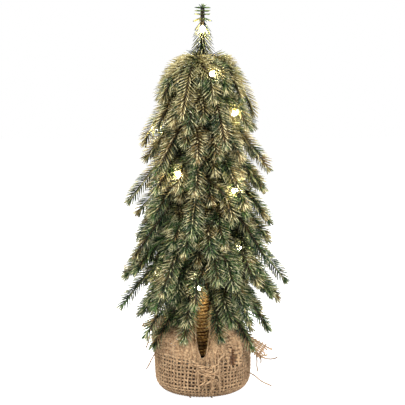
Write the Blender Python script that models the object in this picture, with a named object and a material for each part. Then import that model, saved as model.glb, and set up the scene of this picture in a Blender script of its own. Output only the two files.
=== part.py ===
"""Artificial tabletop tree with a string of battery lights, on a weighted base in burlap.

Run it with: blender --background --python part.py, or from Blender's text editor.
Units are metres and degrees, +Z is up, and the front of the tree faces -Y.
The origin is on the trunk's axis, on the surface that the tree stands on.
"""

import math
import random

import bmesh
import bpy
from mathutils import Matrix, Vector

# ---------------------------------------------------------------- common values
GAP = 0.0003  # between two pieces that touch or are glued
SLIDE_GAP = 0.0004  # round a piece that comes out or slides
CUT = 0.002  # how far a cutter runs past the wall it cuts

# ---------------------------------------------------------------- tree
TREE_HEIGHT = 0.400
LEADER_LENGTH = 0.049
TIER_COUNT = 10
SPRAYS_PER_TIER = 3
# Reach of each tier's longest twigs, from the top tier down.
TIER_REACH = (0.044, 0.052, 0.060, 0.066, 0.067, 0.069, 0.081, 0.080, 0.068, 0.061)
# Direction of each tier's first spray; the others follow at equal steps.
TIER_TURN = (8, 52, -12, 64, 22, -34, 3, 63, -22, -30)
# How much steeper than the common droop a tier hangs.
TIER_DROOP = (1, 1, 1, 1, 1, 1, 1, 1, 1.1, 1.25)
DROOP_SLOPE = 0.36  # fall per metre of reach, at the trunk
DROOP_CURVE = 0.56  # more fall by the tip, per metre of reach
# Each twig of a spray: turn from the middle one, share of its reach, where it leaves the
# middle one as a share of that reach, how much steeper it hangs, and share of its thickness.
TWIGS = (
    (0, 1.00, 0.00, 1.00, 1.00),
    (-38, 0.86, 0.22, 1.00, 0.92),
    (38, 0.86, 0.23, 1.00, 0.90),
    (-19, 0.60, 0.20, 1.12, 0.87),
    (19, 0.64, 0.21, 1.12, 0.85),
)
LONG_TWIGS = 3  # the first twigs, which are all that a short spray has
SHORT_SPRAY = 0.055
TURN_JITTER = 3
DROOP_JITTER = 0.035

TWIG_RADIUS = 0.0030  # the needles' dense core
TWIG_TIP_RADIUS = 0.0015
STEM_RADIUS = 0.0012
STEM_LENGTH = 0.005  # bare stem beside the trunk
STEM_SHOULDER = 0.001  # over which the stem widens to the twig
SIDE_TWIG_ROOT = 0.6  # of a side twig's thickness, where it leaves the middle one
STEM_DEPTH = 0.0015  # how deep a stem sits in the trunk's wrap
TWIG_SIDES = 5
TWIG_RINGS = 5
TWIG_CORNER_TURN = 17

# ---------------------------------------------------------------- trunk
ROD_RADIUS = 0.0018
ROD_SIDES = 10
WRAP_FOOT_RADIUS = 0.0075
WRAP_TOP_RADIUS = 0.0046
WRAP_SIDES = 12
LEADER_RADIUS = 0.0045
LEADER_SOCKET = 0.007

# ---------------------------------------------------------------- lights
WIRE_RADIUS = 0.0005
WIRE_SIDES_RESOLUTION = 0
WIRE_POINTS_PER_SPAN = 1
WIRE_TRUNK_GAP = 0.0016  # between the wire and the trunk's wrap
BEAD_RADIUS = 0.0025
BEAD_LENGTH = 0.0068
BEAD_RINGS = 4
LOOP_HALF_WIDTH = 0.0035  # half the width of a wire loop, half way out to its bead
LOOP_BEND = 0.0022  # from a bead's end to the bend in its wire
TRUNK_HALF_TURN = 14  # from a loop's middle to where each leg leaves the trunk
WIRE_TURN_STEP = 30
# Each bead: the tier that it hangs under, its direction, its distance from the axis
# and how far it stands above the middle of the space under that tier.
BEADS = (
    (8, -99, 0.0300, 0.0045),
    (7, -153, 0.0440, 0.000),
    (6, -27, 0.0430, -0.001),
    (5, 95, 0.0480, 0.000),
    (3, -50, 0.0500, -0.007),
    (3, -121, 0.0460, 0.005),
    (1, 172, 0.0470, 0.001),
    (1, -30, 0.0370, 0.005),
    (0, -68, 0.0230, 0.006),
)
TOP_BEAD_BELOW_TIP = 0.0265

# ---------------------------------------------------------------- batteries and their tray
CELL_RADIUS = 0.00725
CELL_LENGTH = 0.0505
CELL_BUTTON_RADIUS = 0.00275
CELL_BUTTON_LENGTH = 0.0012
CELL_SIDES = 16
CELL_SPACING = 0.0008  # between the two cells
CONTACT_THICKNESS = 0.0005
CONTACT_WIDTH = 0.0100
CONTACT_HEIGHT = 0.0110
TAIL_WIDTH = 0.0024
TAIL_LENGTH = 0.0012  # above the tray's roof
SPRING_LENGTH = 0.0042
SPRING_WIRE = 0.00035
SPRING_FOOT_RADIUS = 0.0040
SPRING_TOP_RADIUS = 0.0024
SPRING_TURNS = 2.5
TRAY_WALL = 0.0015
TRAY_CORNER = 0.003
ROOF_SPACE = 0.0030  # above the tray, where its leads run

# ---------------------------------------------------------------- base
CLOTH = 0.0015
POT_WALL = 0.0018
BASE_CORNER = 0.016  # radius of the bag's rounded foot
POT_HEIGHT = 0.035
WEIGHT_BELOW_RIM = 0.002
SOCKET_FLOOR = 0.004  # weight left between the tray's space and the rod's socket
DOOR_CORNER = 0.006
DOOR_RIM = 0.0018  # of the door past the cells at each end and side
DOOR_RIB_WIDTH = 0.0014
DOOR_RIB_HEIGHT = 0.0026
DOOR_GROOVES = 3
DOOR_GROOVE_STEP = 0.003
DOOR_GROOVE_DEPTH = 0.0006
HEM_CLEARANCE = 0.0012  # between the door's corners and the cloth's hem
BASE_STEPS = 32
CORNER_STEPS = 4

# ---------------------------------------------------------------- switch and timer board
SWITCH_SIZE = (0.0100, 0.0048, 0.0045)
SWITCH_FROM_DOOR = 0.0055
SWITCH_TRAVEL = 0.004
KNOB_SIZE = (0.0030, 0.0018)
KNOB_ABOVE_FLOOR = 0.0008  # so that the tree never stands on the knob
KNOB_IN_SWITCH = 0.0020
BOARD_SIZE = (0.0200, 0.0105, 0.0012)
CHIP_SIZE = (0.0050, 0.0060, 0.0016)
BOARD_SPACE = 0.0015  # round the board, in the weight
LEAD_RADIUS = 0.0006
CONDUIT_RADIUS = 0.0020

# ---------------------------------------------------------------- bag's upper part
BAG_BULGE = 0.0006
OPENING_HALF_ANGLE = 20  # of the open front, where the trunk shows
OPENING_DEPTH = 0.90  # share by which the front's rings come down to the shoulder
FOLDS = 9
FOLD_DEPTH = 0.0014

# ---------------------------------------------------------------- values that follow
TRAY_LENGTH = CELL_LENGTH + SPRING_LENGTH + 2 * CONTACT_THICKNESS + 5 * GAP
TRAY_WIDTH = 4 * CELL_RADIUS + 3 * CELL_SPACING
TRAY_OUTER_LENGTH = TRAY_LENGTH + 2 * TRAY_WALL
TRAY_OUTER_WIDTH = TRAY_WIDTH + 2 * TRAY_WALL
DOOR_LENGTH = CELL_LENGTH + 2 * DOOR_RIM
DOOR_WIDTH = 4 * CELL_RADIUS + 2 * DOOR_RIM / 2


def reach_of_corner(length, width, corner):
    """How far a rounded rectangle's corner reaches from its centre."""
    return math.hypot(length / 2 - corner, width / 2 - corner) + corner


HEM_RADIUS = reach_of_corner(DOOR_LENGTH, DOOR_WIDTH, DOOR_CORNER) + HEM_CLEARANCE
FLOOR_RADIUS = max(
    reach_of_corner(TRAY_OUTER_LENGTH, TRAY_OUTER_WIDTH, TRAY_CORNER) + GAP,
    HEM_RADIUS + 2 * CLOTH,
)
BASE_RADIUS = FLOOR_RADIUS + BASE_CORNER

POT_OFFSET = CLOTH + GAP  # from the bag's outside to the pot's outside
POT_FLOOR_TOP = POT_OFFSET + POT_WALL
WEIGHT_OFFSET = POT_FLOOR_TOP + GAP
WEIGHT_TOP = POT_HEIGHT - WEIGHT_BELOW_RIM
CELL_Z = POT_FLOOR_TOP + SLIDE_GAP + CELL_RADIUS
TRAY_BOTTOM = POT_FLOOR_TOP + GAP
TRAY_CEILING = CELL_Z + CELL_RADIUS + SLIDE_GAP
TRAY_TOP = TRAY_CEILING + TRAY_WALL
CAVITY_TOP = TRAY_TOP + ROOF_SPACE
ROD_BOTTOM = CAVITY_TOP + SOCKET_FLOOR
CELL_Y = CELL_RADIUS + CELL_SPACING / 2

SWITCH_Y = DOOR_WIDTH / 2 + SWITCH_FROM_DOOR
SWITCH_TOP = POT_FLOOR_TOP + GAP + SWITCH_SIZE[2]
BOARD_Z = SWITCH_TOP + GAP
BOARD_Y = TRAY_OUTER_WIDTH / 2 + 2 * GAP + BOARD_SIZE[1] / 2
CONDUIT_X = BOARD_SIZE[0] / 2 - 2 * CONDUIT_RADIUS

SHOULDER_Z = POT_HEIGHT + 0.003
NECK_RADIUS = WRAP_FOOT_RADIUS + 2 * (WIRE_TRUNK_GAP + WIRE_RADIUS) + CLOTH + GAP
NECK_Z = SHOULDER_Z + 0.043

LEADER_BOTTOM = TREE_HEIGHT - LEADER_LENGTH + 2 * GAP
TOP_TIER_Z = TREE_HEIGHT - LEADER_LENGTH - WRAP_TOP_RADIUS / 2
TWIG_OVER_SHOULDER = 0.025  # from the lowest tier's twigs down to the bag's shoulder


def droop(reach, full_reach, steeper=1.0):
    """How far a twig has fallen at this distance from the axis."""
    return steeper * (DROOP_SLOPE * reach + DROOP_CURVE * reach * reach / full_reach)


LOW_TIER_Z = SHOULDER_Z + TWIG_OVER_SHOULDER + droop(BASE_RADIUS, TIER_REACH[-1], TIER_DROOP[-1])
TIER_STEP = (TOP_TIER_Z - LOW_TIER_Z) / (TIER_COUNT - 1)


# ---------------------------------------------------------------- helpers
def clear_scene():
    for obj in list(bpy.data.objects):
        bpy.data.objects.remove(obj, do_unlink=True)


def make_material(name, colour, roughness, metallic=0.0):
    material = bpy.data.materials.new(name)
    material.use_nodes = True
    shader = material.node_tree.nodes["Principled BSDF"]
    shader.inputs["Base Color"].default_value = (*colour, 1.0)
    shader.inputs["Roughness"].default_value = roughness
    shader.inputs["Metallic"].default_value = metallic
    material.diffuse_color = (*colour, 1.0)
    return material


def make_object(name, bm, material, smooth=True):
    """An object that owns the bmesh's shape, with round faces shaded smooth."""
    bmesh.ops.recalc_face_normals(bm, faces=bm.faces)
    mesh = bpy.data.meshes.new(name)
    bm.to_mesh(mesh)
    bm.free()
    obj = bpy.data.objects.new(name, mesh)
    bpy.context.scene.collection.objects.link(obj)
    if material:
        mesh.materials.append(material)
    if smooth:
        mesh.shade_smooth()
        mesh.set_sharp_from_angle(angle=math.radians(40))
    return obj


def as_helper(obj):
    """Marks a cutter or a half-made shape, which is no piece of the tree."""
    obj.hide_render = True
    obj.display_type = "WIRE"
    return obj


def boolean(obj, other, operation="DIFFERENCE", solver="EXACT"):
    modifier = obj.modifiers.new(operation.title(), "BOOLEAN")
    modifier.operation = operation
    modifier.solver = solver
    modifier.object = as_helper(other)


def revolved(outline, steps):
    """A solid turned about Z from (radius, height) points; points on the axis close it."""
    bm = bmesh.new()
    rings = []
    for radius, height in outline:
        if radius < 1e-9:
            rings.append([bm.verts.new((0, 0, height))])
            continue
        angles = [2 * math.pi * i / steps for i in range(steps)]
        rings.append([bm.verts.new((radius * math.cos(a), radius * math.sin(a), height)) for a in angles])
    pairs = list(zip(rings, rings[1:]))
    if len(rings[0]) > 1:
        pairs.append((rings[-1], rings[0]))
    for lower, upper in pairs:
        join_rings(bm, lower, upper)
    return bm


def join_rings(bm, lower, upper):
    """Faces between two rings of vertices, either of which may be a single point."""
    count = max(len(lower), len(upper))
    for i in range(count):
        j = (i + 1) % count
        corners = []
        for ring, indices in ((lower, (i, j)), (upper, (j, i))):
            corners += [ring[0]] if len(ring) == 1 else [ring[k] for k in indices]
        bm.faces.new(corners)


def rounded_box(length, width, height, corner=0.0):
    """A box on z = 0, with its upright edges rounded."""
    bm = bmesh.new()
    bmesh.ops.create_cube(bm, size=1.0)
    bmesh.ops.scale(bm, verts=bm.verts, vec=(length, width, height))
    bmesh.ops.translate(bm, verts=bm.verts, vec=(0, 0, height / 2))
    if corner:
        upright = [e for e in bm.edges if abs(e.verts[0].co.z - e.verts[1].co.z) > height / 2]
        bmesh.ops.bevel(bm, geom=upright, offset=corner, segments=4, profile=0.5, affect="EDGES")
    return bm


def moved(bm, x=0.0, y=0.0, z=0.0):
    bmesh.ops.translate(bm, verts=bm.verts, vec=(x, y, z))
    return bm


def joined(bm, other):
    """Adds another bmesh's shape to this one."""
    mesh = bpy.data.meshes.new("part_of_shape")
    other.to_mesh(mesh)
    other.free()
    bm.from_mesh(mesh)
    bpy.data.meshes.remove(mesh)
    return bm


def swept(points, radii, sides, turn=0.0):
    """A round tapering tube through points, with closed ends and its corners turned this far."""
    bm = bmesh.new()
    side = None
    rings = []
    for i, point in enumerate(points):
        ahead = points[min(i + 1, len(points) - 1)]
        behind = points[max(i - 1, 0)]
        forward = (ahead - behind).normalized()
        if side is None:
            side = forward.orthogonal().normalized()
        side = (side - forward * side.dot(forward)).normalized()
        up = forward.cross(side)
        angles = [math.radians(turn) + 2 * math.pi * k / sides for k in range(sides)]
        rings.append(
            [bm.verts.new(point + radii[i] * (side * math.cos(a) + up * math.sin(a))) for a in angles]
        )
    for first, second in zip(rings, rings[1:]):
        join_rings(bm, first, second)
    bm.faces.new(rings[0])
    bm.faces.new(rings[-1])
    return bm


def wire_object(name, points, radius, resolution, material):
    """A round wire along points, as a bevelled curve with closed ends."""
    curve = bpy.data.curves.new(name, "CURVE")
    curve.dimensions = "3D"
    curve.bevel_depth = radius
    curve.bevel_resolution = resolution
    curve.use_fill_caps = True
    spline = curve.splines.new("POLY")
    spline.points.add(len(points) - 1)
    for spline_point, point in zip(spline.points, points):
        spline_point.co = (*point, 1.0)
    obj = bpy.data.objects.new(name, curve)
    bpy.context.scene.collection.objects.link(obj)
    if material:
        curve.materials.append(material)
    return obj


def smooth_route(points, per_span):
    """Points along a Catmull-Rom curve through the given points."""
    ends = [2 * points[0] - points[1]] + points + [2 * points[-1] - points[-2]]
    found = []
    for p0, p1, p2, p3 in zip(ends, ends[1:], ends[2:], ends[3:]):
        for i in range(per_span):
            t = i / per_span
            found.append(
                0.5
                * (
                    2 * p1
                    + (p2 - p0) * t
                    + (2 * p0 - 5 * p1 + 4 * p2 - p3) * t**2
                    + (3 * p1 - 3 * p2 + p3 - p0) * t**3
                )
            )
    return found + [points[-1]]


def polar(radius, degrees, height):
    angle = math.radians(degrees)
    return Vector((radius * math.cos(angle), radius * math.sin(angle), height))


def smooth_step(t):
    t = min(max(t, 0.0), 1.0)
    return t * t * (3 - 2 * t)


# ---------------------------------------------------------------- shapes that several pieces share
def foot_arc(offset):
    """The rounded foot of the bag, pot or weight, this far inside the bag's outside."""
    points = []
    for i in range(CORNER_STEPS + 1):
        angle = math.pi / 2 * i / CORNER_STEPS
        radius = BASE_CORNER - offset
        points.append(
            (FLOOR_RADIUS + radius * math.sin(angle), BASE_CORNER - radius * math.cos(angle))
        )
    return points


def wrap_radius(height):
    """Outer radius of the trunk's wrap at this height."""
    share = (height - WEIGHT_TOP) / (TREE_HEIGHT - LEADER_LENGTH - WEIGHT_TOP)
    return WRAP_FOOT_RADIUS + (WRAP_TOP_RADIUS - WRAP_FOOT_RADIUS) * min(max(share, 0.0), 1.0)


def tier_height(tier):
    return TOP_TIER_Z - TIER_STEP * tier


def between_tiers(values, tier):
    """A value of each tier, at a place that may lie between two tiers."""
    low = int(math.floor(tier))
    high = min(low + 1, TIER_COUNT - 1)
    return values[low] + (values[high] - values[low]) * (tier - low)


def tier_surface(tier, reach, steeper=1.0):
    """Height of a tier's twigs at this distance from the axis, between tiers too."""
    full_reach = between_tiers(TIER_REACH, tier)
    steepness = between_tiers(TIER_DROOP, tier)
    root = wrap_radius(tier_height(tier)) - STEM_DEPTH
    fall = droop(reach, full_reach, steeper * steepness) - droop(root, full_reach, steepness)
    return tier_height(tier) - fall


def spray_layout():
    """Each spray: its name, tier, direction and its twigs, with reach and start in metres."""
    chance = random.Random(7)
    sprays = []
    for tier in range(TIER_COUNT):
        for place in range(SPRAYS_PER_TIER):
            turn = TIER_TURN[tier] + 360 / SPRAYS_PER_TIER * place
            twigs = []
            for number, (fan, share, start, steeper, thickness) in enumerate(TWIGS):
                fan += chance.uniform(-TURN_JITTER, TURN_JITTER) if number else 0
                steeper *= 1 + chance.uniform(-DROOP_JITTER, DROOP_JITTER)
                full = TIER_REACH[tier]
                if number >= LONG_TWIGS and full < SHORT_SPRAY:
                    continue
                twigs.append((fan, share * full, start * full, steeper, thickness))
            name = f"spray_{tier + 1:02d}{'abc'[place]}"
            sprays.append((name, tier, turn, twigs))
    return sprays


def twig_points(tier, turn, twig):
    """The line down the middle of one twig."""
    fan, reach, start, steeper, _ = twig
    root = wrap_radius(tier_height(tier)) - STEM_DEPTH
    start = max(start, root + STEM_DEPTH + STEM_LENGTH + TWIG_RADIUS) if start else root
    points = []
    for i in range(TWIG_RINGS):
        t = i / (TWIG_RINGS - 1)
        distance = start + (reach - start) * t
        sag = 1 + (steeper - 1) * smooth_step((distance - root) / (reach - root))
        points.append(
            polar(distance, turn + fan * smooth_step(1.35 * t), tier_surface(tier, distance, sag))
        )
    return points


# ---------------------------------------------------------------- foliage
def build_twig(name, tier, turn, twig, number, material):
    """One twig; the first of a spray has the bare stem, and none has its corners in line."""
    points = twig_points(tier, turn, twig)
    radii = []
    for i in range(len(points)):
        t = i / (len(points) - 1)
        taper = smooth_step((t - 0.6) / 0.4)
        radii.append(twig[-1] * (TWIG_RADIUS + (TWIG_TIP_RADIUS - TWIG_RADIUS) * taper))
    if number == 0:
        along = (points[1] - points[0]).normalized()
        bare = points[0] + along * (STEM_DEPTH + STEM_LENGTH)
        points = [points[0], bare, bare + along * STEM_SHOULDER] + points[1:]
        radii = [STEM_RADIUS, STEM_RADIUS] + radii
    else:
        radii[0] *= SIDE_TWIG_ROOT
    return make_object(name, swept(points, radii, TWIG_SIDES, number * TWIG_CORNER_TURN), material)


def build_spray(name, tier, turn, twigs, material):
    """One branch: a middle twig on a bare stem, with side twigs.

    The twigs leave one another at a slant and nearly in line, where only the MANIFOLD
    solver joins all of them cleanly.
    """
    middle = build_twig(name, tier, turn, twigs[0], 0, material)
    for number, twig in enumerate(twigs[1:], 1):
        side = build_twig(f"{name}_side{number}", tier, turn, twig, number, material)
        boolean(middle, side, "UNION", "MANIFOLD")
    return middle


def build_leader(material):
    """The upright tip, which caps the rod."""
    narrow = 0.8 * LEADER_RADIUS
    heights = (0.0, 0.10, 0.45, 0.80, 1.0)
    radii = (narrow, LEADER_RADIUS, LEADER_RADIUS, narrow, 0.0)
    outline = [(0.0, LEADER_BOTTOM)]
    for share, radius in zip(heights, radii):
        outline.append((radius, LEADER_BOTTOM + share * (TREE_HEIGHT - LEADER_BOTTOM)))
    leader = make_object("leader_tip", revolved(outline, WRAP_SIDES), material)
    socket = revolved(
        [
            (0.0, LEADER_BOTTOM - CUT),
            (ROD_RADIUS + GAP, LEADER_BOTTOM - CUT),
            (ROD_RADIUS + GAP, LEADER_BOTTOM + LEADER_SOCKET + GAP),
            (0.0, LEADER_BOTTOM + LEADER_SOCKET + GAP),
        ],
        ROD_SIDES,
    )
    boolean(leader, make_object("leader_socket", socket, None))
    return leader


# ---------------------------------------------------------------- trunk
def build_rod(material):
    top = LEADER_BOTTOM + LEADER_SOCKET
    outline = [(0.0, ROD_BOTTOM + GAP), (ROD_RADIUS, ROD_BOTTOM + GAP), (ROD_RADIUS, top), (0.0, top)]
    return make_object("trunk_rod", revolved(outline, ROD_SIDES), material)


def build_wrap(material):
    """The brown sleeve round the rod, with a socket for each spray's stem."""
    bottom = WEIGHT_TOP + GAP
    top = TREE_HEIGHT - LEADER_LENGTH
    bore = ROD_RADIUS + GAP
    outline = [
        (bore, bottom),
        (wrap_radius(bottom), bottom),
        (wrap_radius(top), top - GAP),
        (bore, top - GAP),
    ]
    wrap = make_object("trunk_wrap", revolved(outline, WRAP_SIDES), material)
    sockets = bmesh.new()
    for _, tier, turn, twigs in spray_layout():
        points = twig_points(tier, turn, twigs[0])
        inwards = (points[0] - points[1]).normalized()
        line = [points[0] + inwards * GAP, points[0] - inwards * (STEM_DEPTH + CUT)]
        joined(sockets, swept(line, [STEM_RADIUS + GAP] * 2, TWIG_SIDES))
    boolean(wrap, make_object("stem_sockets", sockets, None))
    return wrap


# ---------------------------------------------------------------- lights
def free_turn(tier, wanted):
    """The direction nearest to the wanted one that passes between a tier's stems."""
    step = 360 / SPRAYS_PER_TIER
    middle = TIER_TURN[tier] + step / 2
    return middle + step * round((wanted - middle) / step)


def bead_places():
    """Each bead's centre and the way its wire runs, from the bottom up."""
    places = []
    for tier, turn, reach, lift in BEADS:
        height = tier_surface(tier + 0.5, reach) + lift
        places.append((polar(reach, turn, height), polar(1, turn + 90, 0)))
    top = Vector((0, -LEADER_RADIUS - BEAD_RADIUS - GAP, TREE_HEIGHT - TOP_BEAD_BELOW_TIP))
    places.append((top, Vector((0, 0, 1))))
    return places


def round_trunk(start, end):
    """Points against the trunk from one (turn, height) place to another, the first left out."""
    steps = max(1, math.ceil(abs(end[0] - start[0]) / WIRE_TURN_STEP))
    points = []
    for i in range(1, steps + 1):
        turn, height = (a + (b - a) * i / steps for a, b in zip(start, end))
        points.append(polar(wrap_radius(height) + WIRE_TRUNK_GAP + WIRE_RADIUS, turn, height))
    return points


def bead_loop(centre, along, turn, leg_reach, leg_height):
    """Points out to a bead, through it along its length, and back."""
    inwards = polar(1, turn + 180, 0)
    loop = [centre]
    for side in (-1, 1):
        leg_turn = turn + side * math.degrees(LOOP_HALF_WIDTH / leg_reach)
        end = centre + side * along * BEAD_LENGTH / 2
        bend = centre + side * along * (BEAD_LENGTH / 2 + LOOP_BEND) + inwards * LOOP_BEND
        way_out = [end, bend, polar(leg_reach, leg_turn, leg_height)]
        loop = way_out[::-1] + loop if side < 0 else loop + way_out
    return loop


def wire_route():
    """The wire's whole way: board, conduit, trunk, out to each bead and back, and the tip."""
    board_top = BOARD_Z + BOARD_SIZE[2] + GAP + WIRE_RADIUS
    route = [
        Vector((CONDUIT_X, BOARD_Y, board_top)),
        Vector((CONDUIT_X, BOARD_Y, (board_top + WEIGHT_TOP) / 2)),
        Vector((CONDUIT_X, BOARD_Y, WEIGHT_TOP + 0.002)),
    ]
    foot = math.degrees(math.atan2(BOARD_Y, CONDUIT_X))
    place = (foot, WEIGHT_TOP + 0.006)
    route += round_trunk(place, place)
    crossing = (free_turn(TIER_COUNT - 1, foot), tier_height(TIER_COUNT - 1))
    route += round_trunk(place, crossing)
    place = crossing
    last_tier = TIER_COUNT - 2
    for (tier, turn, reach, lift), (centre, along) in zip(BEADS, bead_places()):
        for crossed in range(last_tier, tier, -1):
            crossing = (free_turn(crossed, (place[0] + turn) / 2), tier_height(crossed))
            route += round_trunk(place, crossing)
            place = crossing
        height = tier_height(tier + 0.5)
        route += round_trunk(place, (turn - TRUNK_HALF_TURN, height))
        middle = 0.55 * reach
        route += bead_loop(centre, along, turn, middle, tier_surface(tier + 0.5, middle) + lift / 2)
        place = (turn + TRUNK_HALF_TURN, height + 2 * WIRE_RADIUS)
        route += round_trunk(place, place)
        last_tier = tier
    crossing = (free_turn(0, (place[0] - 90) / 2), tier_height(0))
    route += round_trunk(place, crossing)
    centre, along = bead_places()[-1]
    beside = LEADER_RADIUS + WIRE_TRUNK_GAP + WIRE_RADIUS
    route.append(polar(beside, -90, LEADER_BOTTOM + 0.008))
    route += [centre - along * BEAD_LENGTH / 2, centre, centre + along * 0.7 * BEAD_LENGTH]
    return route


def build_lights(wire_material, bead_material):
    points = smooth_route(wire_route(), WIRE_POINTS_PER_SPAN)
    wire_object("light_wire", points, WIRE_RADIUS, WIRE_SIDES_RESOLUTION, wire_material)
    tunnel_radius = WIRE_RADIUS + GAP
    for number, (centre, along) in enumerate(bead_places(), 1):
        outline = []
        for i in range(BEAD_RINGS + 1):
            angle = math.pi * i / BEAD_RINGS
            outline.append((BEAD_RADIUS * math.sin(angle), -BEAD_LENGTH / 2 * math.cos(angle)))
        bm = revolved(outline, 8)
        matrix = Matrix.Translation(centre) @ along.to_track_quat("Z", "Y").to_matrix().to_4x4()
        bmesh.ops.transform(bm, matrix=matrix, verts=bm.verts)
        bead = make_object(f"led_{number:02d}", bm, bead_material)
        near = [p for p in points if (p - centre).length < BEAD_LENGTH]
        tunnel = swept(near, [tunnel_radius] * len(near), 6)
        boolean(bead, make_object(f"led_tunnel_{number:02d}", tunnel, None))


# ---------------------------------------------------------------- base
def build_pot(material):
    outer = foot_arc(POT_OFFSET)
    inner = foot_arc(POT_FLOOR_TOP)
    outline = [(0.0, POT_OFFSET)] + outer
    outline += [(BASE_RADIUS - POT_OFFSET, POT_HEIGHT), (BASE_RADIUS - POT_FLOOR_TOP, POT_HEIGHT)]
    outline += inner[::-1] + [(0.0, POT_FLOOR_TOP)]
    pot = make_object("base_pot", revolved(outline, BASE_STEPS), material)
    hole = rounded_box(
        DOOR_LENGTH + 2 * SLIDE_GAP,
        DOOR_WIDTH + 2 * SLIDE_GAP,
        POT_WALL + 2 * CUT,
        DOOR_CORNER + SLIDE_GAP,
    )
    boolean(pot, make_object("door_hole", moved(hole, z=POT_OFFSET - CUT), None))
    slot = rounded_box(
        KNOB_SIZE[0] + SWITCH_TRAVEL + 2 * SLIDE_GAP,
        KNOB_SIZE[1] + 2 * SLIDE_GAP,
        POT_WALL + 2 * CUT,
    )
    boolean(pot, make_object("knob_slot", moved(slot, y=SWITCH_Y, z=POT_OFFSET - CUT), None))
    return pot


def build_weight(material):
    """The cast weight, with room for the tray, the board, the wire and the rod."""
    outline = [(0.0, WEIGHT_OFFSET)] + foot_arc(WEIGHT_OFFSET)
    outline += [(BASE_RADIUS - WEIGHT_OFFSET, WEIGHT_TOP), (0.0, WEIGHT_TOP)]
    weight = make_object("cement_weight", revolved(outline, BASE_STEPS), material)
    cavity_height = CAVITY_TOP - WEIGHT_OFFSET + CUT
    tray_space = rounded_box(
        TRAY_OUTER_LENGTH + 2 * GAP, TRAY_OUTER_WIDTH + 2 * GAP, cavity_height, TRAY_CORNER
    )
    boolean(weight, make_object("tray_space", moved(tray_space, z=WEIGHT_OFFSET - CUT), None))
    board_depth = BOARD_SIZE[1] + BOARD_SPACE + 2 * CUT
    board_space = rounded_box(BOARD_SIZE[0] + 2 * BOARD_SPACE, board_depth, cavity_height)
    board_y = BOARD_Y + BOARD_SIZE[1] / 2 + BOARD_SPACE - board_depth / 2
    moved(board_space, y=board_y, z=WEIGHT_OFFSET - CUT)
    boolean(weight, make_object("board_space", board_space, None))
    bores = (
        ("rod_socket", ROD_RADIUS + GAP, 0.0, 0.0, ROD_BOTTOM),
        ("conduit", CONDUIT_RADIUS, CONDUIT_X, BOARD_Y, CAVITY_TOP - CUT),
    )
    for name, radius, x, y, bottom in bores:
        top = WEIGHT_TOP + CUT
        bore = revolved([(0.0, bottom), (radius, bottom), (radius, top), (0.0, top)], ROD_SIDES)
        boolean(weight, make_object(name, moved(bore, x, y), None))
    return weight


def bag_outline(inset):
    """The bag from the hem under the base up to the frayed collar, this far inside its outside."""
    rise = NECK_Z - SHOULDER_Z
    top_of_shoulder = (BASE_RADIUS - 0.0085, SHOULDER_Z + 0.023)
    run = top_of_shoulder[0] - NECK_RADIUS
    upper = [
        (BASE_RADIUS, BASE_CORNER),
        (BASE_RADIUS + BAG_BULGE, (BASE_CORNER + SHOULDER_Z) / 2),
        (BASE_RADIUS + BAG_BULGE / 2, SHOULDER_Z),
        (BASE_RADIUS - 0.0010, SHOULDER_Z + 0.011),
        top_of_shoulder,
        (NECK_RADIUS + 0.55 * run, SHOULDER_Z + 0.72 * rise),
        (NECK_RADIUS + 0.17 * run, SHOULDER_Z + 0.88 * rise),
        (NECK_RADIUS, NECK_Z),
        (NECK_RADIUS + 0.003, NECK_Z + 0.0045),
        (NECK_RADIUS + 0.0075, NECK_Z + 0.0080),
    ]
    outline = [(HEM_RADIUS, inset)] + foot_arc(inset)
    for i in range(1, len(upper)):
        before = upper[i - 1]
        after = upper[min(i + 1, len(upper) - 1)]
        along = Vector((after[0] - before[0], after[1] - before[1])).normalized()
        outline.append((upper[i][0] - along.y * inset, upper[i][1] + along.x * inset))
    return outline


def bag_point(radius, height, shoulder, angle):
    """A point of the bag at this angle: folded above the shoulder, and open at the front."""
    shoulder_radius, shoulder_height = shoulder
    above = smooth_step((height - shoulder_height) / (NECK_Z - SHOULDER_Z))
    turn = (math.degrees(angle) + 90 + 180) % 360 - 180
    front = math.exp(-((turn / OPENING_HALF_ANGLE) ** 2)) * OPENING_DEPTH
    if height > shoulder_height:
        radius += (shoulder_radius - radius) * front
        height += (shoulder_height - height) * front
        radius += FOLD_DEPTH * above * (1 - front) * (1 + math.sin(FOLDS * angle)) / 2
    return Vector((radius * math.cos(angle), radius * math.sin(angle), height))


def build_bag(material):
    """The burlap round the base, as one closed skin of cloth."""
    bm = bmesh.new()
    skins = []
    for inset in (0.0, CLOTH):
        outline = bag_outline(inset)
        shoulder = outline[1 + CORNER_STEPS + 2]
        rings = []
        for radius, height in outline:
            angles = [2 * math.pi * i / BASE_STEPS for i in range(BASE_STEPS)]
            rings.append([bm.verts.new(bag_point(radius, height, shoulder, a)) for a in angles])
        skins.append(rings)
    rings = skins[0] + skins[1][::-1]
    for lower, upper in zip(rings, rings[1:] + rings[:1]):
        join_rings(bm, lower, upper)
    return make_object("burlap_wrap", bm, material)


# ---------------------------------------------------------------- batteries
def build_tray(material):
    """The upside-down battery tray, open towards the door."""
    height = TRAY_TOP - TRAY_BOTTOM
    shell = rounded_box(TRAY_OUTER_LENGTH, TRAY_OUTER_WIDTH, height, TRAY_CORNER)
    tray = make_object("battery_tray", moved(shell, z=TRAY_BOTTOM), material)
    space = rounded_box(TRAY_LENGTH, TRAY_WIDTH, TRAY_CEILING - TRAY_BOTTOM + CUT)
    boolean(tray, make_object("cell_space", moved(space, z=TRAY_BOTTOM - CUT), None))
    slots = bmesh.new()
    for side in (-1, 1):
        slot = rounded_box(CONTACT_THICKNESS + 2 * GAP, TAIL_WIDTH + 2 * GAP, TRAY_WALL + 2 * CUT)
        joined(slots, moved(slot, contact_x(-1), side * CELL_Y, TRAY_CEILING - CUT))
    boolean(tray, make_object("tail_slots", slots, None))
    return tray


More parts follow.
